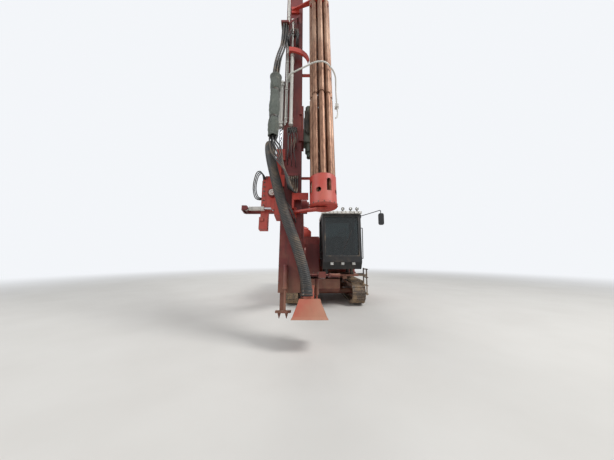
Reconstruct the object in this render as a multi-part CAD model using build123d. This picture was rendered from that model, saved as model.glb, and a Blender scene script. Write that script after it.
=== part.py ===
"""Crawler surface drilling rig with a near-upright drill mast, parked and ready to drill.

Millimetres. +Z is up, the mast stands at the front (-Y), and the operator's left, with the cab, is +X.
The machine is laid out about the middle of its tracks and then moved, so that the origin ends up on the
ground below the middle of its overall box.
Mast pieces are drawn upright about the drilling axis: x to the operator's left, y to the rear, z along
the mast from its foot. MAST then leans them back and puts them in place.
"""

from build123d import *
from math import acos, atan2, cos, degrees, hypot, pi, radians, sin, tan
import os

# Gaps
SEAT_GAP = 0.3
RUN_GAP = 6.0
EYE_GAP = 6.0
PIN = 18.0

# Tracks
TRACK_GAUGE = 2100.0
SHOE_WIDTH = 400.0
TRACK_HEIGHT = 780.0
TRACK_LENGTH = 3300.0
SHOE_COUNT = 44
SHOE_THICK = 24.0
GROUSER = 26.0
TRACK_SEAT = 0.9
LINK_DEPTH = 62.0
ROLLER_RADIUS = 105.0
ROLLER_COUNT = 6
WHEEL_WIDTH = 150.0
WHEEL_HOLES = 6
WHEEL_HOLE_RADIUS = 42.0
MUD_HOLES = 4
MUD_HOLE_PITCH = 440.0
MUD_HOLE_RADIUS = 58.0
TRACK_BEAM_WIDTH = 190.0
TRACK_BEAM_HEIGHT = 250.0

# Chassis and deck
CHASSIS_WIDTH = 900.0
CHASSIS_LOW = 430.0
CHASSIS_HIGH = 860.0
CHASSIS_LENGTH = 3300.0
DECK_HIGH = 1010.0
DECK_WIDTH = 2300.0
DECK_FRONT = -1700.0
DECK_REAR = 2300.0
DECK_THICK = 60.0

# Cab
CAB_RIGHT = -120.0
CAB_LEFT = 1020.0
CAB_FRONT = -2250.0
CAB_REAR = -700.0
CAB_FLOOR = 1190.0
CAB_HIGH = 2900.0
CAB_WALL = 55.0
CAB_EDGE = 26.0
ROOF_RIBS = 9
ROOF_LAMPS = (60, 505, 740, 930)
LOW_LAMPS = (140, 450, 760)
CAB_FLOOR_THICK = 70.0
CAB_ROOF_THICK = 90.0
GLASS_THICK = 8.0
DOOR_WIDTH = 900.0
DOOR_THICK = 45.0
SILL_HIGH = 1690.0
NOSE_HIGH = 1400.0
SCREEN_SLOPE = 0.055
SCREEN_LOW = 1560.0
SCREEN_HIGH = 2740.0
PILLAR = 85.0
SCREEN_REAR = CAB_FRONT + 200.0
MIRROR = (1545.0, -2390.0)
MIRROR_LEVELS = (2450.0, 2790.0)
DOOR_FRONT = -2010.0
DOOR_LOW = 1290.0
DOOR_HIGH = 2760.0
HINGES = (1500.0, 2500.0)
SEAT_X = 480.0
SEAT_Y = -1350.0

# Engine canopy
CANOPY_FRONT = -150.0
CANOPY_REAR = 2250.0
CANOPY_WIDTH = 2200.0
CANOPY_HIGH = 2250.0
LOUVRES = 10
LOUVRE_PITCH = 62.0
HATCH_X = 200.0
HATCH_WIDTH = 900.0
HATCH_RISE = 20.0
CANOPY_WALL = 30.0
CANOPY_DOOR_WIDTH = 1150.0
CANOPY_DOOR_HEIGHT = 950.0

GRILLE_HALF = 820.0
CANOPY_HINGES = (1250.0, 1950.0)
COLLECTOR_X = (-DECK_WIDTH / 2 + 30, -DECK_WIDTH / 2 + 720)
COLLECTOR_Y = (-1200.0, -330.0)
COLLECTOR_LOW = 1560.0
COLLECTOR_HIGH = 2450.0
PULSE_VALVES = 5
INLET = (COLLECTOR_X[0] + 220, -1290.0, 2315.0)
HOSE_RADIUS = 95.0
HOSE_BEFORE_TOP = (-850.0, 0.0, 3600.0)
HOSE_TOP = (-880.0, 330.0, 3620.0)

# Mast
LEAN = 10.0
STRING_X = -527.0
FOOT_Y = -4750.0
FOOT_Z = 500.0
BEAM_LENGTH = 8870.0
BEAM_LOW = 430.0
BEAM_WIDTH = 350.0
BEAM_DEPTH = 300.0
BEAM_TO_STRING = 180.0
FOOT_CYLINDER = (-420.0, -200.0)
FEED_CYLINDER = (-388.0, -200.0)
MAST_PIPE_X = (-518.0, -486.0)
MAST_PIPE_LOW = 3900.0
SLEEVE = (-735.0, -305.0)
SLEEVE_LEVELS = (3500.0, 5060.0)
HOSE_BLOCKS = (2660.0, 6700.0)
HOSE_COUNT = 7
HOSE_SIZES = (17.0, 20.0, 15.0)
LOOP_HOSES = 5
DRILL_HOSES = 3
DRILL_HOSE_LOOP = 44.0
BOOM_HOSES = 4
WEB_HOLES = 11
WEB_HOLE_PITCH = 760.0
RAIL = 34.0
RAIL_REACH = 22.0
WEB_WIDTH = 200.0
BEAM_WALL = 16.0
CLAW = 28.0

# Rock drill and carriage
HEAD_LOW = 3200.0
HEAD_LENGTH = 1300.0
CHUCK_BORE = 26.0

# Tube carousel
TUBE_COUNT = 8
TUBE_RADIUS = 57.0
TUBE_BORE = 36.0
TUBE_RING = 185.0
TUBE_LOW = 2020.0
TUBE_LENGTH = 5380.0
NECK_AT = 4340.0
DRUM_RADIUS = 250.0
DRUM_LOW = 1940.0
DRUM_HEIGHT = 570.0
DRUM_WALL = 18.0
WINDOW_WIDTH = 84.0
TOP_PLATE_DROP = 250.0
BOW_AT = 5050.0
BOW_REACH = 320.0
BOW_FOOT = (-450.0, 5160.0)
BOW_RADIUS = 17.0
STEADY_AT = 6000.0
STEADY_REACH = 480.0
STEADY_TURNS = range(0, 85, 12)
CAROUSEL_X = 257.0
CAROUSEL_Y = -350.0

# Tube arms
ARM_REACH = 280.0
ARM_LEVELS = (2960.0, 5650.0)
ARM_SHAFT = 32.0
CLAW_GAP = 14.0
CLAW_WALL = 12.0
CLAW_MOUTH = 74.0
CLAW_SHOE = 70.0

# Dust hood and centralizer
HOOD_HEIGHT = 330.0
HOOD_WIDTH = 620.0
HOOD_MIDDLE = -60.0
COLLAR = 230.0
JAW_AT = 740.0
JAW_THICK = 110.0
JAW_STROKE = 160.0
JAW_BORE = 62.0

# Boom
BOOM_X = -780.0
SWING_Y = -1960.0
LIFT_Y = -2240.0
LIFT_Z = 1600.0
TILT_BACK = 790.0
TILT_AT = 2400.0
BOOM_WIDTH = 250.0
BOOM_ROOT = 300.0
BOOM_MIDDLE = 380.0
BOOM_CREST = 0.45
BOOM_HEAD = 320.0
ACTUATOR_RADIUS = 165.0
LIFT_EYE = (-900.0, -270.0)
LIFT_FOOT = (-2390.0, 1320.0)
SWING_FOOT = (-1012.0, -1440.0)
SWING_EYE = (-1020.0, -1985.0)
SWING_CYLINDER_Z = 1455.0

# Feed holder
HUB_X = -773.0
HUB_AT = 2460.0
HUB_RADIUS = 75.0
PANEL_THICK = 40.0
PANEL_LOW = 2050.0
PANEL_HIGH = 2870.0
CRADLE_LOW = 1850.0
CRADLE_HIGH = 3300.0
CRADLE_THICK = 110.0

FEED_FOOT = (-1283.0, 2090.0)
FEED_EYE = (-733.0, 2090.0)
FEED_CYLINDER_Y = 105.0
DUCT_X = -45.0
DUCT_Y = -190.0

# The slide's travel either way, in millimetres
EXTENSION_RANGE = (-500.0, 500.0)

# Worked out from the sizes above
LEAN_SIN, LEAN_COS = sin(radians(LEAN)), cos(radians(LEAN))
MAST = Location((STRING_X, FOOT_Y, FOOT_Z), (-LEAN, 0, 0))
BEAM_RIGHT = -BEAM_TO_STRING - BEAM_WIDTH
BEAM_LEFT = -BEAM_TO_STRING
BEAM_FRONT = -BEAM_DEPTH / 2 + 10
BEAM_REAR = BEAM_FRONT + BEAM_DEPTH
TUBE_HIGH = TUBE_LOW + TUBE_LENGTH
TOP_PLATE_AT = TUBE_HIGH - TOP_PLATE_DROP
BEAM_HIGH = BEAM_LOW + BEAM_LENGTH
TRACK_X = TRACK_GAUGE / 2
PANEL_FRONT = BEAM_REAR + 15
PANEL_BACK = PANEL_FRONT + PANEL_THICK

HINGE_X = CAB_LEFT + 16
DOOR_REAR = DOOR_FRONT + DOOR_WIDTH
HINGE_Y = DOOR_REAR
CANOPY_DOOR_Y = (CANOPY_REAR - 100 - CANOPY_DOOR_WIDTH, CANOPY_REAR - 100)
CANOPY_DOOR_Z = (1120.0, 1120.0 + CANOPY_DOOR_HEIGHT)
CRADLE_RIGHT = BEAM_RIGHT - RAIL_REACH - RUN_GAP - CRADLE_THICK


def mast_point(x, y, along):
    """A point of the mast's own frame, in the machine's frame."""
    return (
        STRING_X + x,
        FOOT_Y + y * LEAN_COS + along * LEAN_SIN,
        FOOT_Z - y * LEAN_SIN + along * LEAN_COS,
    )


TILT_POINT = mast_point(HUB_X, TILT_BACK, TILT_AT)
TILT_Y, TILT_Z = TILT_POINT[1:]
BOOM_LENGTH = hypot(TILT_Y - LIFT_Y, TILT_Z - LIFT_Z)
BOOM_ANGLE = degrees(atan2(TILT_Z - LIFT_Z, LIFT_Y - TILT_Y))
BOOM = Location((BOOM_X, LIFT_Y, LIFT_Z), (-BOOM_ANGLE, 0, 0))

# The tube arms' shaft stands where one reach spans both the drilling axis and the nearest tube
PICK_ANGLE = radians(135)
PICK = (CAROUSEL_X - TUBE_RING * sin(PICK_ANGLE), CAROUSEL_Y - TUBE_RING * cos(PICK_ANGLE))
PICK_DISTANCE = hypot(*PICK)
ARM_STEP = (ARM_REACH**2 - (PICK_DISTANCE / 2) ** 2) ** 0.5
ARM_PIVOT = (
    PICK[0] / 2 - PICK[1] / PICK_DISTANCE * ARM_STEP,
    PICK[1] / 2 + PICK[0] / PICK_DISTANCE * ARM_STEP,
)
ARM_REST = radians(110)
ARM_PICK = atan2(PICK[1] - ARM_PIVOT[1], PICK[0] - ARM_PIVOT[0]) % (2 * pi)
ARM_SWEEP = degrees(ARM_PICK - ARM_REST)


# Shapes that recur


def block(x, y, z):
    """A box between a low and a high value on each axis."""
    middle = [(low + high) / 2 for low, high in (x, y, z)]
    return Pos(*middle) * Box(*[high - low for low, high in (x, y, z)])


def bar(start, end, radius, bore=0):
    """A round bar, or a tube, from one point to another."""
    start, end = Vector(*start), Vector(*end)
    place = Plane(origin=start, z_dir=end - start)
    length = (end - start).length
    upright = (Align.CENTER, Align.CENTER, Align.MIN)
    solid = Cylinder(radius, length, align=upright)
    if bore:
        solid -= Cylinder(bore, length, align=upright)
    return place * solid


def side_plate(points, x):
    """A plate with a (y, z) outline, between two x values."""
    outline = Polyline(*[(x[0], y, z) for y, z in points], close=True)
    return extrude(make_face(outline), amount=x[1] - x[0], dir=(1, 0, 0))


def front_plate(points, y):
    """A plate with an (x, z) outline, between two y values."""
    outline = Polyline(*[(across, y[0], z) for across, z in points], close=True)
    return extrude(make_face(outline), amount=y[1] - y[0], dir=(0, 1, 0))


def flat_plate(points, z):
    """A plate with an (x, y) outline, between two z values."""
    outline = Polyline(*[(across, y, z[0]) for across, y in points], close=True)
    return extrude(make_face(outline), amount=z[1] - z[0], dir=(0, 0, 1))


def pipe(points, radius, bend):
    """A tube of round section along straight runs joined by arcs of one radius."""
    path = FilletPolyline(*points, radius=bend)
    start = Plane(origin=path @ 0, z_dir=path % 0)
    return sweep(start * Circle(radius), path=path)


def hose_along(points, radius):
    """A hose along hand-picked points, each corner as round as its shorter run allows."""
    bends = []
    for one, corner, two in zip(points, points[1:], points[2:]):
        before, after = Vector(*corner) - Vector(*one), Vector(*two) - Vector(*corner)
        half_turn = radians(before.get_angle(after) / 2)
        bends.append(0.45 * min(before.length, after.length) / tan(half_turn))
    path = FilletPolyline(*points, radius=bends)
    start = Plane(origin=path @ 0, z_dir=path % 0)
    return sweep(start * Circle(radius), path=path)


def belt(circles, stations):
    """Spots and outward normals round a belt over circles given as (y, z, radius), counterclockwise.

    Each station is a share of the belt's length.
    """
    normals = []
    for one, two in zip(circles, circles[1:] + circles[:1]):
        apart = hypot(two[0] - one[0], two[1] - one[1])
        heading = atan2(two[1] - one[1], two[0] - one[0])
        normals.append(heading - acos((one[2] - two[2]) / apart))
    runs = []
    for number, (y, z, radius) in enumerate(circles):
        first = normals[number - 1]
        last = normals[number]
        turn = (last - first) % (2 * pi)
        after = circles[(number + 1) % len(circles)]
        begin = (y + radius * cos(last), z + radius * sin(last))
        end = (after[0] + after[2] * cos(last), after[1] + after[2] * sin(last))
        straight = hypot(end[0] - begin[0], end[1] - begin[1])
        runs.append(("arc", radius * turn, (y, z, radius, first)))
        runs.append(("line", straight, (begin, end, last)))
    total = sum(length for _, length, _ in runs)
    spots = []
    for station in stations:
        left = (station % 1) * total
        for kind, length, data in runs:
            if left <= length:
                break
            left -= length
        if kind == "arc":
            y, z, radius, first = data
            angle = first + left / radius
            spots.append((y + radius * cos(angle), z + radius * sin(angle), angle))
        else:
            begin, end, angle = data
            share = left / length
            y = begin[0] + (end[0] - begin[0]) * share
            spots.append((y, begin[1] + (end[1] - begin[1]) * share, angle))
    return [Vector(y, z) for y, z, _ in spots], [Vector(cos(a), sin(a)) for *_, a in spots]


def belt_face(circles):
    """The face inside a belt over circles, with true arcs."""
    corners = []
    for one, two in zip(circles, circles[1:] + circles[:1]):
        apart = hypot(two[0] - one[0], two[1] - one[1])
        angle = atan2(two[1] - one[1], two[0] - one[0]) - acos((one[2] - two[2]) / apart)
        corners += [(y + radius * cos(angle), z + radius * sin(angle)) for y, z, radius in (one, two)]
    face = make_face(Polyline(*corners, close=True))
    for y, z, radius in circles:
        face += Pos(y, z) * Circle(radius)
    return face


# Undercarriage

WHEEL_RADIUS = TRACK_HEIGHT / 2 - 28 - GROUSER - SHOE_THICK - LINK_DEPTH
WHEEL_Y = TRACK_LENGTH / 2 - TRACK_HEIGHT / 2 + 28
WHEEL_Z = TRACK_HEIGHT / 2 + 28
ROLLER_END = WHEEL_Y - 250
CHAIN_INSIDE = GROUSER + SHOE_THICK + LINK_DEPTH


def track_circles(out):
    """The idler, the sprocket and the end rollers as circles that a belt runs over, out mm off them."""
    return [
        (-ROLLER_END, CHAIN_INSIDE + ROLLER_RADIUS, ROLLER_RADIUS + out),
        (ROLLER_END, CHAIN_INSIDE + ROLLER_RADIUS, ROLLER_RADIUS + out),
        (WHEEL_Y, WHEEL_Z, WHEEL_RADIUS + out),
        (-WHEEL_Y, WHEEL_Z, WHEEL_RADIUS + out),
    ]


def track_loop(side):
    """One track as a closed loop, each shoe a step of its outline with a grouser bar."""
    # Along the shoe, as a share of the pitch, and out from its back
    steps = (
        (0.02, 0),
        (0.02, SHOE_THICK),
        (0.42, SHOE_THICK),
        (0.45, SHOE_THICK + GROUSER),
        (0.55, SHOE_THICK + GROUSER),
        (0.58, SHOE_THICK),
        (0.98, SHOE_THICK),
        (0.98, 0),
    )
    stations = [(shoe + share) / SHOE_COUNT for shoe in range(SHOE_COUNT) for share, _ in steps]
    spots, normals = belt(track_circles(LINK_DEPTH), stations)
    outs = [out for _ in range(SHOE_COUNT) for _, out in steps]
    outer = [spot + normal * out for spot, normal, out in zip(spots, normals, outs)]
    band = make_face(Polyline(*outer, close=True)) - belt_face(track_circles(TRACK_SEAT))
    low = side * TRACK_X - SHOE_WIDTH / 2
    place = Plane(origin=(low, 0, 0), x_dir=(0, 1, 0), z_dir=(1, 0, 0))
    return place * extrude(band, SHOE_WIDTH)


def track_frame(side):
    """The beam between a track's runs, with its wheels, rollers and guards."""
    x = side * TRACK_X
    beam_low = CHAIN_INSIDE + ROLLER_RADIUS + 20
    half = TRACK_BEAM_WIDTH / 2
    reach = WHEEL_Y - 260
    beam = side_plate(
        [
            (-reach, beam_low),
            (reach, beam_low),
            (reach, beam_low + TRACK_BEAM_HEIGHT * 0.8),
            (reach - 260, beam_low + TRACK_BEAM_HEIGHT),
            (-reach + 260, beam_low + TRACK_BEAM_HEIGHT),
            (-reach, beam_low + TRACK_BEAM_HEIGHT * 0.8),
        ],
        (x - half, x + half),
    )
    beam += block(
        (x - half + 10, x + half - 10), (-WHEEL_Y, -reach + 20), (WHEEL_Z - 45, WHEEL_Z + 45)
    )
    beam += block(
        (x - half + 10, x + half - 10), (reach - 20, WHEEL_Y), (WHEEL_Z - 90, WHEEL_Z + 90)
    )
    wide = WHEEL_WIDTH / 2
    for y in (-WHEEL_Y, WHEEL_Y):
        wheel = bar((x - wide, y, WHEEL_Z), (x + wide, y, WHEEL_Z), WHEEL_RADIUS)
        for number in range(WHEEL_HOLES):
            turn = 2 * pi * number / WHEEL_HOLES
            hole_y, hole_z = y + 0.66 * WHEEL_RADIUS * cos(turn), WHEEL_Z + 0.66 * WHEEL_RADIUS * sin(turn)
            wheel -= bar((x - wide - 1, hole_y, hole_z), (x + wide + 1, hole_y, hole_z), WHEEL_HOLE_RADIUS)
        beam += wheel + bar((x - half, y, WHEEL_Z), (x + half, y, WHEEL_Z), 95)
    # Final drive outside the rear wheel, in steps as its gears need
    for out, radius in ((30, 165), (62, 140), (85, 92)):
        outer = x + side * (half + out)
        beam += bar((x, WHEEL_Y, WHEEL_Z), (outer, WHEEL_Y, WHEEL_Z), radius)
    for number in range(MUD_HOLES):
        y = (number - (MUD_HOLES - 1) / 2) * MUD_HOLE_PITCH
        z = beam_low + TRACK_BEAM_HEIGHT * 0.55
        beam -= bar((x - half - 1, y, z), (x + half + 1, y, z), MUD_HOLE_RADIUS)
    gap = 2 * ROLLER_END / (ROLLER_COUNT - 1)
    for number in range(ROLLER_COUNT):
        y = -ROLLER_END + number * gap
        roller_z = CHAIN_INSIDE + ROLLER_RADIUS
        beam += bar((x - wide, y, roller_z), (x + wide, y, roller_z), ROLLER_RADIUS)
    return beam


def chassis():
    """The box frame between the tracks, with the cross tubes that carry the track frames."""
    half = CHASSIS_WIDTH / 2
    front, rear = -CHASSIS_LENGTH / 2, CHASSIS_LENGTH / 2
    frame = side_plate(
        [
            (front, CHASSIS_LOW + 140),
            (front + 260, CHASSIS_LOW),
            (rear - 260, CHASSIS_LOW),
            (rear, CHASSIS_LOW + 140),
            (rear, CHASSIS_HIGH),
            (front, CHASSIS_HIGH),
        ],
        (-half, half),
    )
    inner = TRACK_X - TRACK_BEAM_WIDTH / 2 - SEAT_GAP
    axle_z = CHAIN_INSIDE + ROLLER_RADIUS + 20 + TRACK_BEAM_HEIGHT / 2
    for y in (-850, 850):
        frame += bar((-inner, y, axle_z + 30), (inner, y, axle_z + 30), 90)
    for y in (-700, 700):
        for side in (-1, 1):
            frame += block(
                (side * half - 90, side * half + 90),
                (y - 120, y + 120),
                (CHASSIS_HIGH - 60, DECK_HIGH - DECK_THICK - SEAT_GAP),
            )
    return frame


def tow_eye():
    """The towing lug at the rear of the chassis, with its bore across."""
    rear = CHASSIS_LENGTH / 2
    lug = block((-30, 30), (rear + SEAT_GAP, rear + 150), (560, 720))
    lug += block((-110, 110), (rear + SEAT_GAP, rear + 30), (520, 760))
    return lug - bar((-40, rear + 90, 640), (40, rear + 90, 640), 32)


def deck():
    """The upper frame: floor plate, edge beams and the front beam that carries the boom stand."""
    half = DECK_WIDTH / 2
    low = DECK_HIGH - DECK_THICK
    plate = block((-half, half), (DECK_FRONT, DECK_REAR), (low, DECK_HIGH))
    plate -= block((CAB_RIGHT - 40, half + 1), (DECK_FRONT - 1, CAB_REAR + 30), (low - 1, DECK_HIGH + 1))
    plate += block((CAB_RIGHT - 40, half - 130), (DECK_FRONT, CAB_REAR + 30), (low, DECK_HIGH))
    for side in (-1, 1):
        rail = (side * half - 40, side * half + 40)
        plate += block(rail, (CANOPY_FRONT, DECK_REAR), (low - 60, DECK_HIGH))
    for side in (-1, 1):
        spot = side * 600
        plate += block((spot - 60, spot + 60), (DECK_FRONT, DECK_REAR - 100), (low - 80, low + 10))
    return plate


# Boom


def side_lugs(x, y, wall, pin=0):
    """Two flat lugs above and below the swing cylinder's axis, reaching out from a wall at x = wall."""
    lugs = None
    for side in (-1, 1):
        near = SWING_CYLINDER_Z + side * (32 + EYE_GAP)
        low, high = sorted((near, near + side * 24))
        lug = block((x, wall + 5), (y - 50, y + 50), (low, high))
        lug += bar((x, y, low), (x, y, high), 50)
        lug += bar((x, y, low - (12 if side < 0 else 0)), (x, y, high + (12 if side > 0 else 0)), 26)
        lugs = lug if lugs is None else lugs + lug
    if pin:
        lugs += bar((x, y, SWING_CYLINDER_Z - 50), (x, y, SWING_CYLINDER_Z + 50), pin)
    return lugs


def boom_stand():
    """The welded post at the front of the deck, with the two lugs of the swing pin."""
    rear, front = -1380.0, -1720.0
    low = DECK_HIGH + SEAT_GAP
    post = side_plate(
        [(rear, low), (rear, 1900), (rear - 90, 2180), (front + 60, 2180), (front, 1950), (front, low)],
        (BOOM_X - 165, CAB_RIGHT - 75),
    )
    for z in (1180, 1860):
        lug = block((BOOM_X - 130, BOOM_X + 130), (SWING_Y, front + 5), (z, z + 80))
        lug += bar((BOOM_X, SWING_Y, z), (BOOM_X, SWING_Y, z + 80), 130)
        post += lug
    for z in (1180, 1860):
        post -= bar((BOOM_X, SWING_Y, z - 1), (BOOM_X, SWING_Y, z + 81), 51)
    return post + side_lugs(*SWING_FOOT, BOOM_X - 165, PIN)


def swing_bracket():
    """The bracket that turns on the swing pin and carries the boom's fork."""
    body = bar((BOOM_X, SWING_Y, 1180 + 86), (BOOM_X, SWING_Y, 1860 - 6), 125)
    body += bar((BOOM_X, SWING_Y, 1120), (BOOM_X, SWING_Y, 2000), 50.9)
    body += bar((BOOM_X, SWING_Y, 1940.3 + 6), (BOOM_X, SWING_Y, 2000), 85)
    for side in (-1, 1):
        low, high = sorted((side * (BOOM_WIDTH / 2 + RUN_GAP), side * (BOOM_WIDTH / 2 + RUN_GAP + 40)))
        body += side_plate(
            [
                (SWING_Y - 40, 1280),
                (SWING_Y - 40, 1830),
                (LIFT_Y - 60, LIFT_Z + 150),
                (LIFT_Y - 130, LIFT_Z + 60),
                (LIFT_Y - 130, LIFT_Z - 60),
                (LIFT_Y - 190, 1330),
                (LIFT_Y - 120, 1270),
            ],
            (BOOM_X + low, BOOM_X + high),
        )
    body += block((BOOM_X - 160, BOOM_X + 160), (SWING_Y - 112, SWING_Y - 60), (1280, 1830))
    body += side_lugs(*SWING_EYE, BOOM_X - BOOM_WIDTH / 2 - RUN_GAP - 40)
    for side in (-1, 1):
        near = side * (38 + EYE_GAP)
        low, high = sorted((near, near + side * 30))
        foot_y, foot_z = LIFT_FOOT
        body += side_plate(
            [
                (-2190, 1270),
                (-2190, 1420),
                (foot_y - 20, foot_z + 62),
                (foot_y - 62, foot_z),
                (foot_y - 20, foot_z - 62),
            ],
            (BOOM_X + low, BOOM_X + high),
        )
    body += bar((BOOM_X - 60, *LIFT_FOOT), (BOOM_X + 60, *LIFT_FOOT), PIN)
    body += block((BOOM_X - 140, BOOM_X + 140), (-2200, -2100), (1280, 1420))
    pin = BOOM_WIDTH / 2 + RUN_GAP + 52
    body += bar((BOOM_X - pin, LIFT_Y, LIFT_Z), (BOOM_X + pin, LIFT_Y, LIFT_Z), 60)
    return body


def boom_arm():
    """The boom: a tapered box from the lift pin to the housing of the tilt actuator."""
    half = BOOM_WIDTH / 2
    arm = side_plate(
        [
            (-60, -BOOM_ROOT / 2 + 40),
            (-BOOM_LENGTH * BOOM_CREST, -BOOM_MIDDLE / 2),
            (-BOOM_LENGTH + 40, -BOOM_HEAD / 2 + 20),
            (-BOOM_LENGTH + 40, BOOM_HEAD / 2 - 20),
            (-BOOM_LENGTH * BOOM_CREST, BOOM_MIDDLE / 2),
            (-60, BOOM_ROOT / 2 - 40),
        ],
        (-half, half),
    )
    arm += bar((-half, 0, 0), (half, 0, 0), 120)
    arm -= bar((-half - 1, 0, 0), (half + 1, 0, 0), 60.1)
    arm += bar((-half - 30, -BOOM_LENGTH, 0), (half + 90, -BOOM_LENGTH, 0), ACTUATOR_RADIUS)
    arm += bar((half + 80, -BOOM_LENGTH, 0), (half + 130, -BOOM_LENGTH, 0), 120)
    # Lugs of the lift cylinder's rod
    eye_y, eye_z = LIFT_EYE
    for side in (-1, 1):
        low, high = sorted((side * (35 + EYE_GAP), side * (35 + EYE_GAP + 28)))
        arm += side_plate(
            [(eye_y + 110, -150), (eye_y + 50, eye_z - 45), (eye_y - 50, eye_z - 45), (eye_y - 110, -150)],
            (low, high),
        )
    return BOOM * arm


def cylinder(foot, eye, axis, barrel, stroke_in, radii, eye_width):
    """A hydraulic cylinder as its barrel and its rod, each with an eye that turns about axis.

    barrel is the barrel's length past its foot, stroke_in is how far the rod can still go in, and radii
    are the barrel's, the rod's and the eyes'.
    """
    foot, eye, axis = Vector(*foot), Vector(*eye), Vector(*axis)
    along = (eye - foot).normalized()
    tube_radius, rod_radius, eye_radius = radii
    half = axis * (eye_width / 2)
    gland = foot + along * barrel
    neck = eye_radius + 24
    body = bar(foot + along * neck, gland, tube_radius)
    body += bar(foot + along * eye_radius * 0.6, foot + along * (neck + 5), eye_width * 0.42)
    body += bar(foot - half, foot + half, eye_radius)
    body -= bar(foot - half * 1.1, foot + half * 1.1, PIN + SEAT_GAP)
    body += bar(gland - along * 50, gland + along * 20, tube_radius + 7)
    inside = foot + along * (neck + 8)
    body -= bar(inside, gland + along * 21, rod_radius + SEAT_GAP)
    rod = bar(inside + along * (stroke_in + 4), eye - along * eye_radius * 0.6, rod_radius)
    rod += bar(eye - half, eye + half, eye_radius)
    return body, rod


def lift_cylinder():
    """The cylinder that raises the boom, from the swing bracket to the boom's belly."""
    eye = (BOOM * Pos(0, *LIFT_EYE)).position
    return cylinder((BOOM_X, *LIFT_FOOT), eye, (1, 0, 0), 680, 70, (62, 36, 52), 76)


def swing_cylinder():
    """The cylinder that turns the boom, along the outer side of the boom stand."""
    foot = (*SWING_FOOT, SWING_CYLINDER_Z)
    return cylinder(foot, (*SWING_EYE, SWING_CYLINDER_Z), (0, 0, 1), 330, 124, (40, 24, 36), 64)


# Feed holder, drawn upright in the mast's own frame


def tilt_bracket():
    """The arm that turns on the tilt actuator and holds the swing hub in front of it."""
    right, left = -1000.0, BOOM_X - STRING_X - BOOM_WIDTH / 2 - 30 - RUN_GAP
    back = PANEL_BACK + RUN_GAP
    arm = bar((right, TILT_BACK, TILT_AT), (left, TILT_BACK, TILT_AT), ACTUATOR_RADIUS)
    arm += bar((left, TILT_BACK, TILT_AT), (left + RUN_GAP - SEAT_GAP, TILT_BACK, TILT_AT), 95)
    arm += bar((right - 30, TILT_BACK, TILT_AT), (right, TILT_BACK, TILT_AT), 110)
    for low in (right, right + 370):
        arm += side_plate(
            [
                (back + 20, PANEL_LOW + 60),
                (TILT_BACK - 60, TILT_AT - ACTUATOR_RADIUS + 10),
                (TILT_BACK + 60, TILT_AT + ACTUATOR_RADIUS - 10),
                (back + 20, PANEL_HIGH - 60),
            ],
            (low, low + 40),
        )
    arm += block((right, right + 410), (back, back + 45), (PANEL_LOW + 40, PANEL_HIGH - 40))
    arm += bar((HUB_X, back + 10, HUB_AT), (HUB_X, PANEL_FRONT - 60, HUB_AT), HUB_RADIUS)
    arm += bar((HUB_X, PANEL_FRONT - RUN_GAP, HUB_AT), (HUB_X, PANEL_FRONT - 50, HUB_AT), HUB_RADIUS + 20)
    # Arm of the feed swing cylinder, with the lugs of the barrel's foot
    foot_x, foot_at = FEED_FOOT
    arm += block((foot_x - 50, right + 20), (back, back + 45), (foot_at - 60, foot_at + 60))
    arm += bar((foot_x, FEED_CYLINDER_Y + 30 + EYE_GAP, foot_at), (foot_x, back + 20, foot_at), 50)
    front = FEED_CYLINDER_Y - 30 - EYE_GAP
    arm += bar((foot_x, front - 22, foot_at), (foot_x, front, foot_at), 50)
    arm += bar((foot_x, front - 10, foot_at), (foot_x, FEED_CYLINDER_Y + 60, foot_at), PIN)
    arm += block((foot_x - 80, foot_x - 52), (front - 22, back + 45), (foot_at - 50, foot_at + 50))
    arm += block((foot_x - 80, foot_x), (front - 22, front), (foot_at - 50, foot_at + 50))
    arm += block((foot_x - 80, foot_x - 20), (back, back + 45), (foot_at - 50, foot_at + 50))
    return MAST * arm


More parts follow.
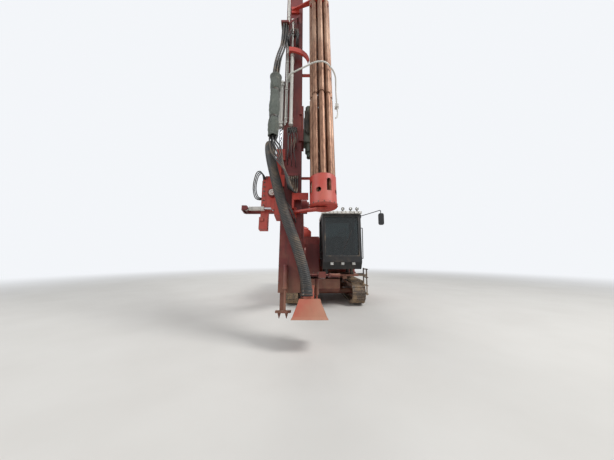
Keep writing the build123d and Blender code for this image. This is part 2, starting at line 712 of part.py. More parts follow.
def feed_holder():
    """The swing plate with its hub bore, and the cradle that the feed beam slides in."""
    plate = front_plate(
        [
            (-1000, PANEL_LOW + 120),
            (-930, PANEL_LOW),
            (CRADLE_RIGHT, PANEL_LOW),
            (CRADLE_RIGHT + 60, PANEL_LOW),
            (CRADLE_RIGHT + 60, PANEL_HIGH),
            (-930, PANEL_HIGH),
            (-1000, PANEL_HIGH - 120),
        ],
        (PANEL_FRONT, PANEL_BACK),
    )
    plate -= bar((HUB_X, PANEL_FRONT - 1, HUB_AT), (HUB_X, PANEL_BACK + 1, HUB_AT), HUB_RADIUS + SEAT_GAP)
    claw_front = BEAM_FRONT - RUN_GAP - CLAW
    claw_rear = BEAM_REAR + RUN_GAP + CLAW
    wall_left = CRADLE_RIGHT + CRADLE_THICK
    plate += block((CRADLE_RIGHT, wall_left), (claw_front, claw_rear), (CRADLE_LOW, CRADLE_HIGH))
    for low in (CRADLE_LOW, (CRADLE_LOW + CRADLE_HIGH) / 2 - 130, CRADLE_HIGH - 260):
        for y in ((claw_front, claw_front + CLAW), (claw_rear - CLAW, claw_rear)):
            plate += block((wall_left - 10, wall_left + 70), y, (low, low + 260))
    plate += block((CRADLE_RIGHT + 10, wall_left), (claw_rear - 10, PANEL_BACK), (PANEL_LOW, PANEL_HIGH))
    # Lugs of the feed swing cylinder's rod
    eye_x, eye_at = FEED_EYE
    front = FEED_CYLINDER_Y - 30 - EYE_GAP
    plate += block((eye_x, CRADLE_RIGHT + 10), (front - 22, front), (eye_at - 38, eye_at + 38))
    plate += bar((eye_x, front - 22, eye_at), (eye_x, front, eye_at), 38)
    plate += bar((eye_x, FEED_CYLINDER_Y + 30 + EYE_GAP, eye_at), (eye_x, PANEL_FRONT + 5, eye_at), 38)
    # Valve box under the plate, on a neck of the plate's own thickness
    plate += block((-1000, -830), (PANEL_FRONT, PANEL_BACK), (PANEL_LOW - 160, PANEL_LOW + 130))
    plate += block((-1000, -830), (60, PANEL_BACK), (PANEL_LOW - 410, PANEL_LOW - 155))
    plate += block((-975, -905), (42, 62), (PANEL_LOW - 250, PANEL_LOW - 185))
    # Lug that the extension cylinder's rod is fixed to
    plate += block(
        (CRADLE_RIGHT + 5, CRADLE_RIGHT + 105), (-130, -30), (CRADLE_HIGH - 60, CRADLE_HIGH + 30)
    )
    return MAST * plate


def feed_swing_cylinder():
    """The cylinder that leans the mast to either side."""
    foot = (FEED_FOOT[0], FEED_CYLINDER_Y, FEED_FOOT[1])
    eye = (FEED_EYE[0], FEED_CYLINDER_Y, FEED_EYE[1])
    barrel, rod = cylinder(foot, eye, (0, 1, 0), 350, 126, (42, 25, 38), 60)
    return MAST * barrel, MAST * rod


def extension_cylinder():
    """The cylinder that slides the feed beam: its barrel is on the beam and its rod on the cradle."""
    x, y = CRADLE_RIGHT + 55, -80
    gland = CRADLE_HIGH + 30 + EXTENSION_RANGE[1] + 60
    high = gland + 1250
    barrel = bar((x, y, gland), (x, y, high), 55, 28 + SEAT_GAP)
    barrel += bar((x, y, high - 30), (x, y, high + 20), 62)
    barrel += bar((x, y, gland), (x, y, gland + 60), 62, 28 + SEAT_GAP)
    for at in (gland + 80, high - 120):
        barrel += block((x - 62, BEAM_RIGHT - RAIL_REACH - SEAT_GAP), (y - 62, y + 62), (at, at + 60))
        barrel -= bar((x, y, at - 1), (x, y, at + 61), 28 + SEAT_GAP)
    rod = bar((x, y, CRADLE_HIGH + 30 + SEAT_GAP), (x, y, gland + 560), 28)
    return MAST * barrel, MAST * rod


# Mast


def feed_beam():
    """The feed beam: two flanges whose edges are the rails, a web box, a foot and a crown."""
    right, left = BEAM_RIGHT - RAIL_REACH, BEAM_LEFT + RAIL_REACH
    middle = (BEAM_RIGHT + BEAM_LEFT) / 2
    span = (BEAM_LOW, BEAM_HIGH)
    beam = block((right, left), (BEAM_FRONT, BEAM_FRONT + RAIL), span)
    beam += block((right, left), (BEAM_REAR - RAIL, BEAM_REAR), span)
    beam += block((middle - WEB_WIDTH / 2, middle + WEB_WIDTH / 2), (BEAM_FRONT + 5, BEAM_REAR - 5), span)
    beam -= block(
        (middle - WEB_WIDTH / 2 + BEAM_WALL, middle + WEB_WIDTH / 2 - BEAM_WALL),
        (BEAM_FRONT + RAIL, BEAM_REAR - RAIL),
        (BEAM_LOW - 1, BEAM_HIGH + 1),
    )
    # Foot column, plate, spikes and the small cylinder that presses the foot down
    beam += block((right + 30, right + 130), (-60, 60), (130, BEAM_LOW + 5))
    beam += block((right - 40, left - 170), (-110, 110), (95, 135))
    for x in (right + 20, right + 150):
        beam += Pos(x, 0, 48) * Cone(4, 32, 96)
    x, y = FOOT_CYLINDER
    beam += bar((x, y, 520), (x, y, 900), 38) + bar((x, y, 130), (x, y, 530), 20)
    beam += bar((x, y, 490), (x, y, 530), 45) + bar((x, y, 870), (x, y, 905), 44)
    for at in (600, 820):
        beam += block((x - 40, x + 40), (y, BEAM_FRONT + 5), (at, at + 45))
    beam += block((x - 50, x + 50), (y - 45, BEAM_FRONT + 80), (100, 135))
    # Lightening holes in the web, between the rails
    for number in range(WEB_HOLES):
        at = BEAM_LOW + 500 + number * WEB_HOLE_PITCH
        beam -= bar((middle - 120, 10, at), (middle + 120, 10, at), 55)
    # Blocks that the oil hoses end in
    low_block, high_block = HOSE_BLOCKS
    beam += block((-425, -215), (BEAM_FRONT - 75, BEAM_FRONT + 5), (low_block, low_block + 70))
    x, y = SLEEVE
    beam += block((x + 70, x + 260), (y - 70, y + 110), (high_block, high_block + 60))
    beam += block((x + 215, right + 60), (y + 60, BEAM_FRONT + 5), (high_block, high_block + 60))
    # Bent strap that holds the hoses to the beam's front
    strap = [(right + 15, high_block + 60), (left - 55, high_block + 400), (left - 15, high_block + 70)]
    strap += [(left - 50, high_block + 70), (left - 75, high_block + 320), (right + 15, high_block - 5)]
    beam += front_plate(strap, (BEAM_FRONT - 150, BEAM_FRONT - 134))
    feet = (BEAM_FRONT - 150, BEAM_FRONT + 5)
    beam += block((right + 15, right + 50), feet, (high_block + 5, high_block + 75))
    beam += block((left - 130, left - 95), feet, (high_block + 320, high_block + 350))
    # Crown with the sheaves of the feed ropes
    beam += block((right, left), (BEAM_FRONT, BEAM_REAR), (BEAM_HIGH - 5, BEAM_HIGH + 24))
    for x in (middle - 95, middle + 65):
        beam += side_plate(
            [
                (BEAM_FRONT + 20, BEAM_HIGH + 20),
                (BEAM_FRONT + 70, BEAM_HIGH + 185),
                (BEAM_REAR - 70, BEAM_HIGH + 185),
                (BEAM_REAR - 20, BEAM_HIGH + 20),
            ],
            (x, x + 30),
        )
    beam += bar((middle - 110, 10, BEAM_HIGH + 115), (left + 10, 10, BEAM_HIGH + 115), 24)
    for x in (middle - 20, left - 90):
        beam += bar((x - 20, 10, BEAM_HIGH + 115), (x + 20, 10, BEAM_HIGH + 115), 78)
        beam -= bar((x - 6, 10, BEAM_HIGH + 115), (x + 6, 10, BEAM_HIGH + 115), 90) - bar(
            (x - 7, 10, BEAM_HIGH + 115), (x + 7, 10, BEAM_HIGH + 115), 66
        )
    return MAST * beam


def feed_cylinder():
    """The long cylinder on the beam's front that drives the carriage's ropes, in its two cradles."""
    x, y = FEED_CYLINDER
    front = BEAM_FRONT - SEAT_GAP
    low, high = MAST_PIPE_LOW, TUBE_HIGH - 390
    middle = low + 0.62 * (high - low)
    barrel = bar((x, y, low), (x, y, middle), 38) + bar((x, y, middle - 40), (x, y, middle + 30), 46)
    barrel += bar((x, y, low - 30), (x, y, low + 30), 46) + bar((x, y, middle), (x, y, high), 22)
    for at in (low + 110, middle - 180):
        barrel += block((x - 45, x + 45), (y, front), (at, at + 70))
    barrel += block((x - 36, x + 36), (y - 35, front), (high - 30, high + 30))
    return MAST * barrel


def mast_pipes():
    """The steel oil pipes down the beam's front, in their clamps."""
    y = BEAM_FRONT - SEAT_GAP - 22
    group = None
    for number, x in enumerate(MAST_PIPE_X):
        low, high = MAST_PIPE_LOW + 60 * number, HOSE_BLOCKS[1] - 60 - 70 * number
        line = bar((x, y, low), (x, y, high), 13) + bar((x, y, low), (x, y, low + 40), 16)
        line += bar((x, y, high - 40), (x, y, high), 16)
        group = line if group is None else group + line
        low, high = HOSE_BLOCKS[1] + 200 + 90 * number, BEAM_HIGH - 250 - 300 * number
        group += bar((x, y, low), (x, y, high), 13) + bar((x, y, low), (x, y, low + 40), 16)
    sides = (MAST_PIPE_X[0] - 18, MAST_PIPE_X[-1] + 18)
    for at in range(int(HOSE_BLOCKS[1]) + 500, int(BEAM_HIGH) - 700, 700):
        group += block(sides, (y - 18, BEAM_FRONT - SEAT_GAP), (at, at + 40))
    for at in range(int(MAST_PIPE_LOW) + 160, int(HOSE_BLOCKS[1]) - 300, 800):
        group += block(sides, (y - 18, BEAM_FRONT - SEAT_GAP), (at, at + 40))
    return MAST * group


def hose_sleeve():
    """The woven sleeve round the hose bundle beside the beam, flared at its top, on its two straps."""
    x, y = SLEEVE
    low, high = SLEEVE_LEVELS
    outline = [
        (0, low),
        (90, low),
        (108, low + 300),
        (98, low + 900),
        (112, high - 260),
        (138, high - 40),
        (138, high),
        (0, high),
    ]
    edge = Polyline(*[(across, 0, at) for across, at in outline], close=True)
    sleeve = Pos(x, y, 0) * revolve(make_face(edge), Axis.Z)
    strap = MAST_PIPE_X[-1] + 24
    for at in (low + 430, high - 420):
        sleeve += block((x + 60, strap + 20), (BEAM_FRONT - 90, BEAM_FRONT - 60), (at, at + 60))
        sleeve += block((strap, strap + 20), (BEAM_FRONT - 90, BEAM_FRONT - SEAT_GAP), (at, at + 60))
    return MAST * sleeve


def mast_hoses():
    """The beam's oil hoses: the bundle above the sleeve and the loops that hang out of its lower end."""
    x, y = SLEEVE
    low, high = SLEEVE_LEVELS
    block_low, block_high = HOSE_BLOCKS
    hoses = []
    for number in range(HOSE_COUNT):
        turn = 2 * pi * number / (HOSE_COUNT - 1)
        ring = 62 if number < HOSE_COUNT - 1 else 0
        side, front = ring * cos(turn), ring * sin(turn)
        sway = 26 * cos(turn)
        points = [
            (x + side, y + front, high + SEAT_GAP),
            (x + side, y + front, high + 160),
            (x + 40 + side, y - 20 + front, high + 560 + sway),
            (x + 150 + side, y + 10 + front, high + 1000 + sway),
            (x + 165 + side, y + 20 + front, block_high - 190),
            (x + 165 + side, y + 20 + front, block_high - SEAT_GAP),
        ]
        hoses.append(hose_along(points, HOSE_SIZES[number % 3]))
    for number in range(LOOP_HOSES):
        lane = 46 * number
        start = (x + 66 - 33 * number, y - 30 + 50 * (number % 2), low - SEAT_GAP)
        end = (-400 + 42 * number, BEAM_FRONT - 50)
        points = [
            start,
            (start[0], start[1], low - 120),
            (x + 190 - lane, y - 110 - 0.4 * lane, low - 330 - lane),
            (-500 + 0.4 * lane, y - 120 - lane, low - 720 - 1.3 * lane),
            (-400 + 0.6 * lane, y - 105 - lane, low - 1130 - 1.2 * lane),
            (end[0], end[1] - 120 - lane, low - 1180 - 0.9 * lane),
            (end[0], end[1], low - 1080),
            (end[0], end[1], block_low - SEAT_GAP),
        ]
        hoses.append(hose_along(points, 15))
    return [MAST * hose for hose in hoses]


def drill_hoses():
    """The short hoses on the rock drill's front, from its gearbox up to its body."""
    hoses = []
    for number in range(DRILL_HOSES):
        x, low, high = -78 + 28 * number, HEAD_LOW + 560 - 34 * number, HEAD_LOW + 1050 + 30 * number
        out = -118 - DRILL_HOSE_LOOP
        points = [(x, -118 - SEAT_GAP, low), (x, out, low), (x, out, high), (x, -95 - SEAT_GAP, high)]
        hoses.append(hose_along(points, 11))
    return [MAST * hose for hose in hoses]


def boom_hoses():
    """The hoses clamped along the boom's top."""
    top = BOOM_MIDDLE / 2
    saddle = -BOOM_LENGTH * BOOM_CREST
    hoses = block((-105, 105), (saddle - 28, saddle + 28), (top + SEAT_GAP, top + 84))
    for number in range(BOOM_HOSES):
        across = -75 + 50 * number
        points = [
            (across, -430, top + 58),
            (across, -620, top + 74),
            (across, -BOOM_LENGTH * 0.5, top + 60),
            (across, -BOOM_LENGTH * 0.75, top + 52),
            (across, -BOOM_LENGTH + 420, top + 56),
        ]
        hoses += hose_along(points, 18)
    return BOOM * hoses


def carousel_brackets():
    """The plates that reach from the beam's front to the carousel's shaft, and to the tube arms' shaft."""
    front = BEAM_FRONT - SEAT_GAP
    plates = None
    for at in (DRUM_LOW - 62, TUBE_HIGH + 50):
        outline = [
            (-430, front),
            (-430, front - 40),
            (CAROUSEL_X - 130, CAROUSEL_Y - 62),
            (CAROUSEL_X + 60, CAROUSEL_Y - 62),
            (CAROUSEL_X + 60, CAROUSEL_Y + 62),
            (CAROUSEL_X - 120, CAROUSEL_Y + 62),
            (-240, front - 48),
            (-240, front),
        ]
        plate = flat_plate(outline, (at, at + 40))
        plate += block((-440, -240), (front - 30, front), (at - 90, at + 130))
        plate -= bar((CAROUSEL_X, CAROUSEL_Y, at - 1), (CAROUSEL_X, CAROUSEL_Y, at + 41), 35 + SEAT_GAP)
        plates = plate if plates is None else plates + plate
    # Guard plate beside the drum, and the curved arm that steadies the tubes half way up
    guard = (DRUM_LOW + 190, DRUM_LOW + 330)
    plates += block((-330, -290), (-262, front), (DRUM_LOW + 20, guard[1]))
    plates += block((-330, CAROUSEL_X - DRUM_RADIUS - 25), (-262, -236), guard)
    x, high, reach = BOW_FOOT[0] - 17, STEADY_AT, STEADY_REACH
    crest, under = [], []
    for turn in STEADY_TURNS:
        across, drop = reach * sin(radians(turn)), reach * (1 - cos(radians(turn)))
        crest.append((x + across, high - 0.9 * drop))
        under.insert(0, (x + 0.93 * across, high - 130 - 0.84 * drop))
    plates += front_plate(crest + under, (-300, -256))
    plates += block((x, x + 34), (-300, front), (high - 130, high))
    rear = BEAM_REAR + SEAT_GAP
    shaft_x, shaft_y = ARM_PIVOT
    for at in (ARM_LEVELS[0] - 130, ARM_LEVELS[1] + 90):
        reach = shaft_x + 50
        plate = flat_plate(
            [
                (-420, rear),
                (-420, rear + 110),
                (reach - 90, rear + 110),
                (reach, rear + 20),
                (reach, shaft_y - 50),
                (reach - 100, shaft_y - 50),
                (reach - 100, rear - 5),
                (reach - 150, rear + 48),
                (-235, rear + 48),
                (-235, rear),
            ],
            (at, at + 36),
        )
        plate -= bar((shaft_x, shaft_y, at - 1), (shaft_x, shaft_y, at + 37), ARM_SHAFT + SEAT_GAP)
        plates += plate
    return MAST * plates


def carousel_frame():
    """The turning part of the tube carousel: shaft, windowed drum with tube seats, and upper star plate."""
    x, y = CAROUSEL_X, CAROUSEL_Y
    low, high = DRUM_LOW, DRUM_LOW + DRUM_HEIGHT
    drum = bar((x, y, low), (x, y, high), DRUM_RADIUS, DRUM_RADIUS - DRUM_WALL)
    for turn in range(TUBE_COUNT // 2):
        # An upright window with a round head and a small round one beside it, as light as the real cuts
        face = Pos(x, y, low + 330) * Rot(0, 0, 22.5 + 90 * turn) * Pos(0, -DRUM_RADIUS, 0)
        round_head = Rot(90, 0, 0) * Cylinder(WINDOW_WIDTH / 2, 90)
        drum -= face * (Box(WINDOW_WIDTH, 90, 200) + Pos(0, 0, 100) * round_head)
        face = Pos(x, y, low + 250) * Rot(0, 0, 67.5 + 90 * turn) * Pos(0, -DRUM_RADIUS, 0)
        drum -= face * Rot(90, 0, 0) * Cylinder(48, 90)
    drum += bar((x, y, low), (x, y, TUBE_LOW + 25), DRUM_RADIUS - 4)
    drum += bar((x, y, high - 26), (x, y, high), DRUM_RADIUS - 4)
    drum += bar((x, y, low), (x, y, low + 34), DRUM_RADIUS + 10)
    drum += bar((x, y, DRUM_LOW - 62), (x, y, TUBE_HIGH + 90), 35)
    drum += bar((x, y, high - 10), (x, y, high + 90), 70)
    drum += bar((x, y, TOP_PLATE_AT), (x, y, TOP_PLATE_AT + 30), DRUM_RADIUS - 14)
    drum += bar((x, y, TOP_PLATE_AT - 60), (x, y, TOP_PLATE_AT + 90), 62)
    pocket = TUBE_RADIUS + SEAT_GAP
    for turn in range(TUBE_COUNT):
        px, py = tube_place(turn)
        drum -= bar((px, py, TUBE_LOW), (px, py, high + 1), pocket)
        drum -= bar((px, py, TOP_PLATE_AT - 1), (px, py, TOP_PLATE_AT + 31), pocket)
        mouth = Pos(px, py, TOP_PLATE_AT + 15) * Rot(0, 0, -360 * turn / TUBE_COUNT) * Pos(0, -50, 0)
        drum -= mouth * Box(2 * pocket, 100, 34)
    return MAST * drum


def guard_bow():
    """The bent tube that guards the carousel's tubes, from the beam round their front to its hook."""
    front, side = CAROUSEL_Y - BOW_REACH, CAROUSEL_X + BOW_REACH
    foot_x, foot_at = BOW_FOOT
    path = [
        (foot_x, BEAM_FRONT - 18, foot_at),
        (foot_x, BEAM_FRONT - 150, foot_at),
        (CAROUSEL_X - 130, front, BOW_AT),
        (CAROUSEL_X + 90, front, BOW_AT + 10),
        (side, CAROUSEL_Y - 90, BOW_AT - 40),
        (side + 10, CAROUSEL_Y + 10, BOW_AT - 330),
        (side + 10, CAROUSEL_Y + 20, BOW_AT - 800),
    ]
    bow = hose_along(path, BOW_RADIUS)
    foot = (BEAM_FRONT - 24, BEAM_FRONT - SEAT_GAP)
    bow += block((foot_x - BOW_RADIUS, foot_x + BOW_RADIUS), foot, (foot_at - 60, foot_at + 60))
    # The clamp block at its lower end, with the hook
    x, y, at = path[-1]
    bow += block((x - 40, x + 34), (y - 42, y + 42), (at - 60, at + 20))
    hook = [(x, y - 20, at - 50), (x + 12, y - 25, at - 230)]
    hook += [(x - 10, y - 35, at - 330), (x - 45, y - 40, at - 350)]
    bow += hose_along(hook, 14)
    return MAST * bow


def tube_place(turn):
    """Where a tube stands in the carousel, counted round from the front."""
    angle = 2 * pi * turn / TUBE_COUNT
    return CAROUSEL_X - TUBE_RING * sin(angle), CAROUSEL_Y - TUBE_RING * cos(angle)


def drill_tubes():
    """The tubes in the carousel, each with a neck between its two lengths."""
    tubes = []
    for turn in range(TUBE_COUNT):
        x, y = tube_place(turn)
        low = TUBE_LOW + SEAT_GAP
        tube = bar((x, y, low), (x, y, NECK_AT), TUBE_RADIUS)
        tube += bar((x, y, NECK_AT), (x, y, NECK_AT + 70), TUBE_RADIUS - 14)
        tube += bar((x, y, NECK_AT + 70), (x, y, low + TUBE_LENGTH), TUBE_RADIUS)
        tube -= bar((x, y, low - 1), (x, y, low + TUBE_LENGTH + 1), TUBE_BORE)
        tubes.append(tube)
    return [MAST * tube for tube in tubes]


def tube_arms():
    """The shaft that runs beside the drilling axis and its claws, which carry a tube to the axis."""
    shaft_x, shaft_y = ARM_PIVOT
    low, high = ARM_LEVELS[0] - 150, ARM_LEVELS[1] + 150
    shaft = bar((shaft_x, shaft_y, low), (shaft_x, shaft_y, high), ARM_SHAFT)
    hub = ARM_SHAFT + 18
    arms, shoes = [], []
    inner = TUBE_RADIUS + CLAW_GAP
    outer = inner + CLAW_WALL
    for at in ARM_LEVELS:
        claw_x, claw_y = shaft_x + ARM_REACH * cos(ARM_REST), shaft_y + ARM_REACH * sin(ARM_REST)
        # The claw's ring in three shoes, open toward the tube that it fetches
        for start in range(3):
            first = degrees(ARM_REST) + 90 + CLAW_MOUTH + start * CLAW_SHOE
            sides = [radians(turn) for turn in (first + 0.2, first + CLAW_SHOE - 0.2)]
            edge = [(2 * outer * cos(turn), 2 * outer * sin(turn)) for turn in sides]
            wedge = Pos(claw_x, claw_y, 0) * flat_plate([(0, 0)] + edge, (at, at + 70))
            shoes.append(wedge & bar((claw_x, claw_y, at), (claw_x, claw_y, at + 70), outer, inner))
        reach = ARM_REACH - outer - SEAT_GAP
        arm = Pos(shaft_x, shaft_y, at + 35) * Rot(0, 0, degrees(ARM_REST)) * Pos(reach / 2, -8, 0)
        seat = bar((shaft_x, shaft_y, at), (shaft_x, shaft_y, at + 70), hub + SEAT_GAP)
        arms.append(arm * Box(reach, 44, 60) - seat)
        shaft += bar((shaft_x, shaft_y, at - 10), (shaft_x, shaft_y, at + 80), hub)
    return [MAST * piece for piece in [shaft] + arms + shoes]


def carriage():
    """The slide that carries the rock drill along the beam's rails."""
    near = BEAM_LEFT + RAIL_REACH + RUN_GAP
    claw_front = BEAM_FRONT - RUN_GAP - CLAW
    claw_rear = BEAM_REAR + RUN_GAP + CLAW
    low, high = HEAD_LOW + 300, HEAD_LOW + HEAD_LENGTH - 100
    slide = block((near, near + 34), (claw_front, claw_rear), (low, high))
    for at in (low, high - 220):
        for y in ((claw_front, claw_front + CLAW), (claw_rear - CLAW, claw_rear)):
            slide += block((near - 60, near + 10), y, (at, at + 220))
        for y in (
            (claw_front + CLAW - 5, BEAM_FRONT - SEAT_GAP),
            (BEAM_REAR + SEAT_GAP, claw_rear - CLAW + 5),
        ):
            slide += block((near - 55, near - 15), y, (at + 20, at + 200))
    return MAST * slide


def rock_drill():
    """The hammer: chuck, gearbox, body and back head, with its accumulators."""
    side = BEAM_LEFT + RAIL_REACH + RUN_GAP + 34 + SEAT_GAP
    low = HEAD_LOW
    drill = bar((0, 0, low), (0, 0, low + 130), 52, CHUCK_BORE)
    drill += bar((0, 0, low + 120), (0, 0, low + 330), 84)
    drill += block((side, 125), (-118, 118), (low + 320, low + 640))
    drill += block((side + 20, 100), (-95, 95), (low + 630, low + 1150))
    drill += bar((0, 0, low + 1140), (0, 0, low + HEAD_LENGTH), 78)
    drill += bar((60, -90, low + 760), (60, -90, low + 1000), 50)
    drill += bar((0, 0, low + 660), (0, 0, low + 1000), 112)
    return MAST * drill


def centralizer():
    """The fixed half of the steadying jaws, with the base and the guide rods of the other half."""
    near = BEAM_LEFT + RAIL_REACH + SEAT_GAP
    low, high = JAW_AT - JAW_THICK / 2, JAW_AT + JAW_THICK / 2
    base = block((near, near + 40), (BEAM_FRONT, BEAM_REAR), (low - 30, high + 30))
    half = block((near + 30, -8), (-120, 120), (low, high))
    half -= bar((0, 0, low - 1), (0, 0, high + 1), JAW_BORE)
    base += half
    for y in (-95, 95):
        base += bar((near + 30, y, JAW_AT), (370, y, JAW_AT), 16)
    base += block((350, 372), (-125, 125), (JAW_AT - 32, JAW_AT + 32))
    # The jaw's cylinder stands out from the end plate
    base += bar((370, 0, JAW_AT), (562, 0, JAW_AT), 34) + bar((372, 0, JAW_AT), (396, 0, JAW_AT), 42)
    base += bar((540, 0, JAW_AT), (562, 0, JAW_AT), 40)
    base -= bar((340, 0, JAW_AT), (550, 0, JAW_AT), 14 + SEAT_GAP)
    return MAST * base


def centralizer_jaw():
    """The half that slides in on the guide rods, with its cylinder's rod."""
    low, high = JAW_AT - JAW_THICK / 2, JAW_AT + JAW_THICK / 2
    open_by = JAW_STROKE
    jaw = block((2 + open_by, 130 + open_by), (-125, 125), (low, high))
    jaw -= bar((open_by - 3, 0, low - 1), (open_by - 3, 0, high + 1), JAW_BORE)
    for y in (-95, 95):
        jaw -= bar((open_by, y, JAW_AT), (open_by + 140, y, JAW_AT), 16 + SEAT_GAP)
    jaw += bar((open_by + 120, 0, JAW_AT), (546, 0, JAW_AT), 14)
    return MAST * jaw


def dust_hood():
    """The hollow suction hood round the drilling axis, with its flared lip, duct stub and slide."""
    # Height, half width and half depth of each level
    outline = [
        (0, HOOD_WIDTH / 2, 255),
        (45, HOOD_WIDTH / 2 - 25, 242),
        (HOOD_HEIGHT - 60, 195, 212),
        (HOOD_HEIGHT, 180, 205),
    ]
    middle = HOOD_MIDDLE
    outer, inner = None, None
    for (low, wide, deep), (high, wide_up, deep_up) in zip(outline, outline[1:]):
        faces = Pos(0, middle, low) * Rectangle(2 * wide, 2 * deep)
        faces += Pos(0, middle, high) * Rectangle(2 * wide_up, 2 * deep_up)
        layer = loft(faces.faces())
        outer = layer if outer is None else outer + layer
        hollow = Pos(0, middle, low) * Rectangle(2 * wide - 24, 2 * deep - 24)
        hollow += Pos(0, middle, high) * Rectangle(2 * wide_up - 24, 2 * deep_up - 24)
        layer = loft(hollow.faces())
        inner = layer if inner is None else inner + layer
    shell = outer - inner
    top = block((-178, 178), (middle - 203, middle + 203), (HOOD_HEIGHT - 12, HOOD_HEIGHT))
    shell += top + bar((0, 0, HOOD_HEIGHT - 5), (0, 0, HOOD_HEIGHT + COLLAR), 86)
    shell += bar((0, 0, HOOD_HEIGHT + COLLAR - 24), (0, 0, HOOD_HEIGHT + COLLAR), 96)
    shell += bar((DUCT_X, DUCT_Y, HOOD_HEIGHT - 5), (DUCT_X, DUCT_Y, HOOD_HEIGHT + 40), 66)
    shell -= bar((0, 0, HOOD_HEIGHT - 20), (0, 0, HOOD_HEIGHT + COLLAR + 1), 75)
    shell -= bar((DUCT_X, DUCT_Y, HOOD_HEIGHT - 20), (DUCT_X, DUCT_Y, HOOD_HEIGHT + 41), 58)
    near = BEAM_LEFT + RAIL_REACH + RUN_GAP
    shell += block((near, near + 30), (-20, 110), (HOOD_HEIGHT - 10, JAW_AT - 110))
    return MAST * shell


def hood_cylinder():
    """The small cylinder beside the hood: the barrel under the centralizer, the rod on the hood."""
    x, y = 135, 60
    low = HOOD_HEIGHT + SEAT_GAP
    gland = HOOD_HEIGHT + 60
    rod = bar((x, y, low), (x, y, gland + 250), 14)
    barrel = bar((x, y, gland), (x, y, JAW_AT - JAW_THICK / 2 - SEAT_GAP), 34, 14 + SEAT_GAP)
    return MAST * barrel, MAST * rod


# Cab


def windscreen_y(z):
    """The y of the cab's front face at a height; it leans back a little above the nose."""
    return CAB_FRONT + SCREEN_SLOPE * max(0.0, z - NOSE_HIGH)


def cab_outline(inset):
    """The cab's (y, z) side outline, drawn in by inset."""
    high = CAB_HIGH - CAB_ROOF_THICK - inset
    low = CAB_FLOOR + inset
    return [
        (CAB_FRONT + 130 + inset * 0.6, low),
        (CAB_FRONT + inset, NOSE_HIGH),
        (windscreen_y(high) + inset, high),
        (CAB_REAR - inset, high),
        (CAB_REAR - inset, low),
    ]


def cab_shell():
    """The cab's body: front, rear and side walls with the windows and the doorway cut out."""
    shell = side_plate(cab_outline(0), (CAB_RIGHT, CAB_LEFT))
    sides = shell.faces().sort_by(Axis.X)
    shell = fillet(sides[0].edges() + sides[-1].edges(), CAB_EDGE)
    low_open = cab_outline(CAB_WALL)
    shell -= side_plate(low_open, (CAB_RIGHT + CAB_WALL, CAB_LEFT - CAB_WALL))
    inside = (CAB_RIGHT + CAB_WALL, CAB_LEFT - CAB_WALL)
    between_pillars = (CAB_RIGHT + PILLAR, CAB_LEFT - PILLAR)
    right_wall = (CAB_RIGHT - 10, CAB_RIGHT + CAB_WALL + 10)
    left_wall = (CAB_LEFT - CAB_WALL - 10, CAB_LEFT + 10)
    window_high = (SILL_HIGH, SCREEN_HIGH)
    shell -= block(inside, (SCREEN_REAR, CAB_REAR - CAB_WALL), (CAB_FLOOR + 20, CAB_HIGH))
    shell -= block(between_pillars, (CAB_FRONT - 10, SCREEN_REAR - 10), (SCREEN_LOW, SCREEN_HIGH))
    shell -= block(between_pillars, (CAB_REAR - 90, CAB_REAR + 10), window_high)
    shell -= block(right_wall, (SCREEN_REAR + 30, CAB_REAR - PILLAR), window_high)
    shell -= block(left_wall, (DOOR_FRONT, DOOR_FRONT + DOOR_WIDTH), (DOOR_LOW, DOOR_HIGH))
    shell -= block(left_wall, (DOOR_FRONT + DOOR_WIDTH + 90, CAB_REAR - PILLAR), window_high)
    # Hinge brackets of the door
    for z in HINGES:
        shell += block((CAB_LEFT - 5, HINGE_X + 14), (HINGE_Y, HINGE_Y + 70), (z - 62, z - 32))
        shell += bar((HINGE_X, HINGE_Y, z - 62), (HINGE_X, HINGE_Y, z - 32), 14)
        shell += bar((HINGE_X, HINGE_Y, z - 40), (HINGE_X, HINGE_Y, z + 36), 7)
    return shell


def cab_floor():
    """The cab's floor, with the mounts that carry the cab on the deck."""
    gap = CAB_WALL + SEAT_GAP
    across, along = (CAB_RIGHT + gap, CAB_LEFT - gap), (SCREEN_REAR + 1, CAB_REAR - gap)
    floor = block(across, along, (CAB_FLOOR + 20 + SEAT_GAP, CAB_FLOOR + CAB_FLOOR_THICK))
    return floor


def cab_mounts():
    """The four rubber mounts between the deck and the cab."""
    mounts = []
    for x in (CAB_RIGHT + 150, CAB_LEFT - 190):
        for y in (DECK_FRONT + 120, CAB_REAR - 140):
            mounts.append(bar((x, y, DECK_HIGH + SEAT_GAP), (x, y, CAB_FLOOR - SEAT_GAP), 62))
    return mounts


def cab_roof():
    """The cab's roof with its overhang and the rail that carries the lamps."""
    low, high = CAB_HIGH - CAB_ROOF_THICK + SEAT_GAP, CAB_HIGH
    roof = side_plate(
        [
            (CAB_FRONT - 40, low),
            (CAB_FRONT - 20, high - 30),
            (CAB_FRONT + 120, high),
            (CAB_REAR - 60, high),
            (CAB_REAR + 25, high - 35),
            (CAB_REAR + 25, low),
        ],
        (CAB_RIGHT - 12, CAB_LEFT + 12),
    )
    top = roof.faces().sort_by(Axis.Z)[-1].edges()
    roof = fillet(top, 18)
    pitch = (CAB_LEFT - CAB_RIGHT - 2 * PILLAR) / (ROOF_RIBS - 1)
    for number in range(ROOF_RIBS):
        x = CAB_RIGHT + PILLAR + number * pitch
        roof += side_plate(
            [
                (CAB_FRONT - 36, low + 6),
                (CAB_FRONT - 58, low + 14),
                (CAB_FRONT - 50, high - 34),
                (CAB_FRONT + 90, high + 6),
                (CAB_FRONT + 110, high - 8),
            ],
            (x - 9, x + 9),
        )
    return roof


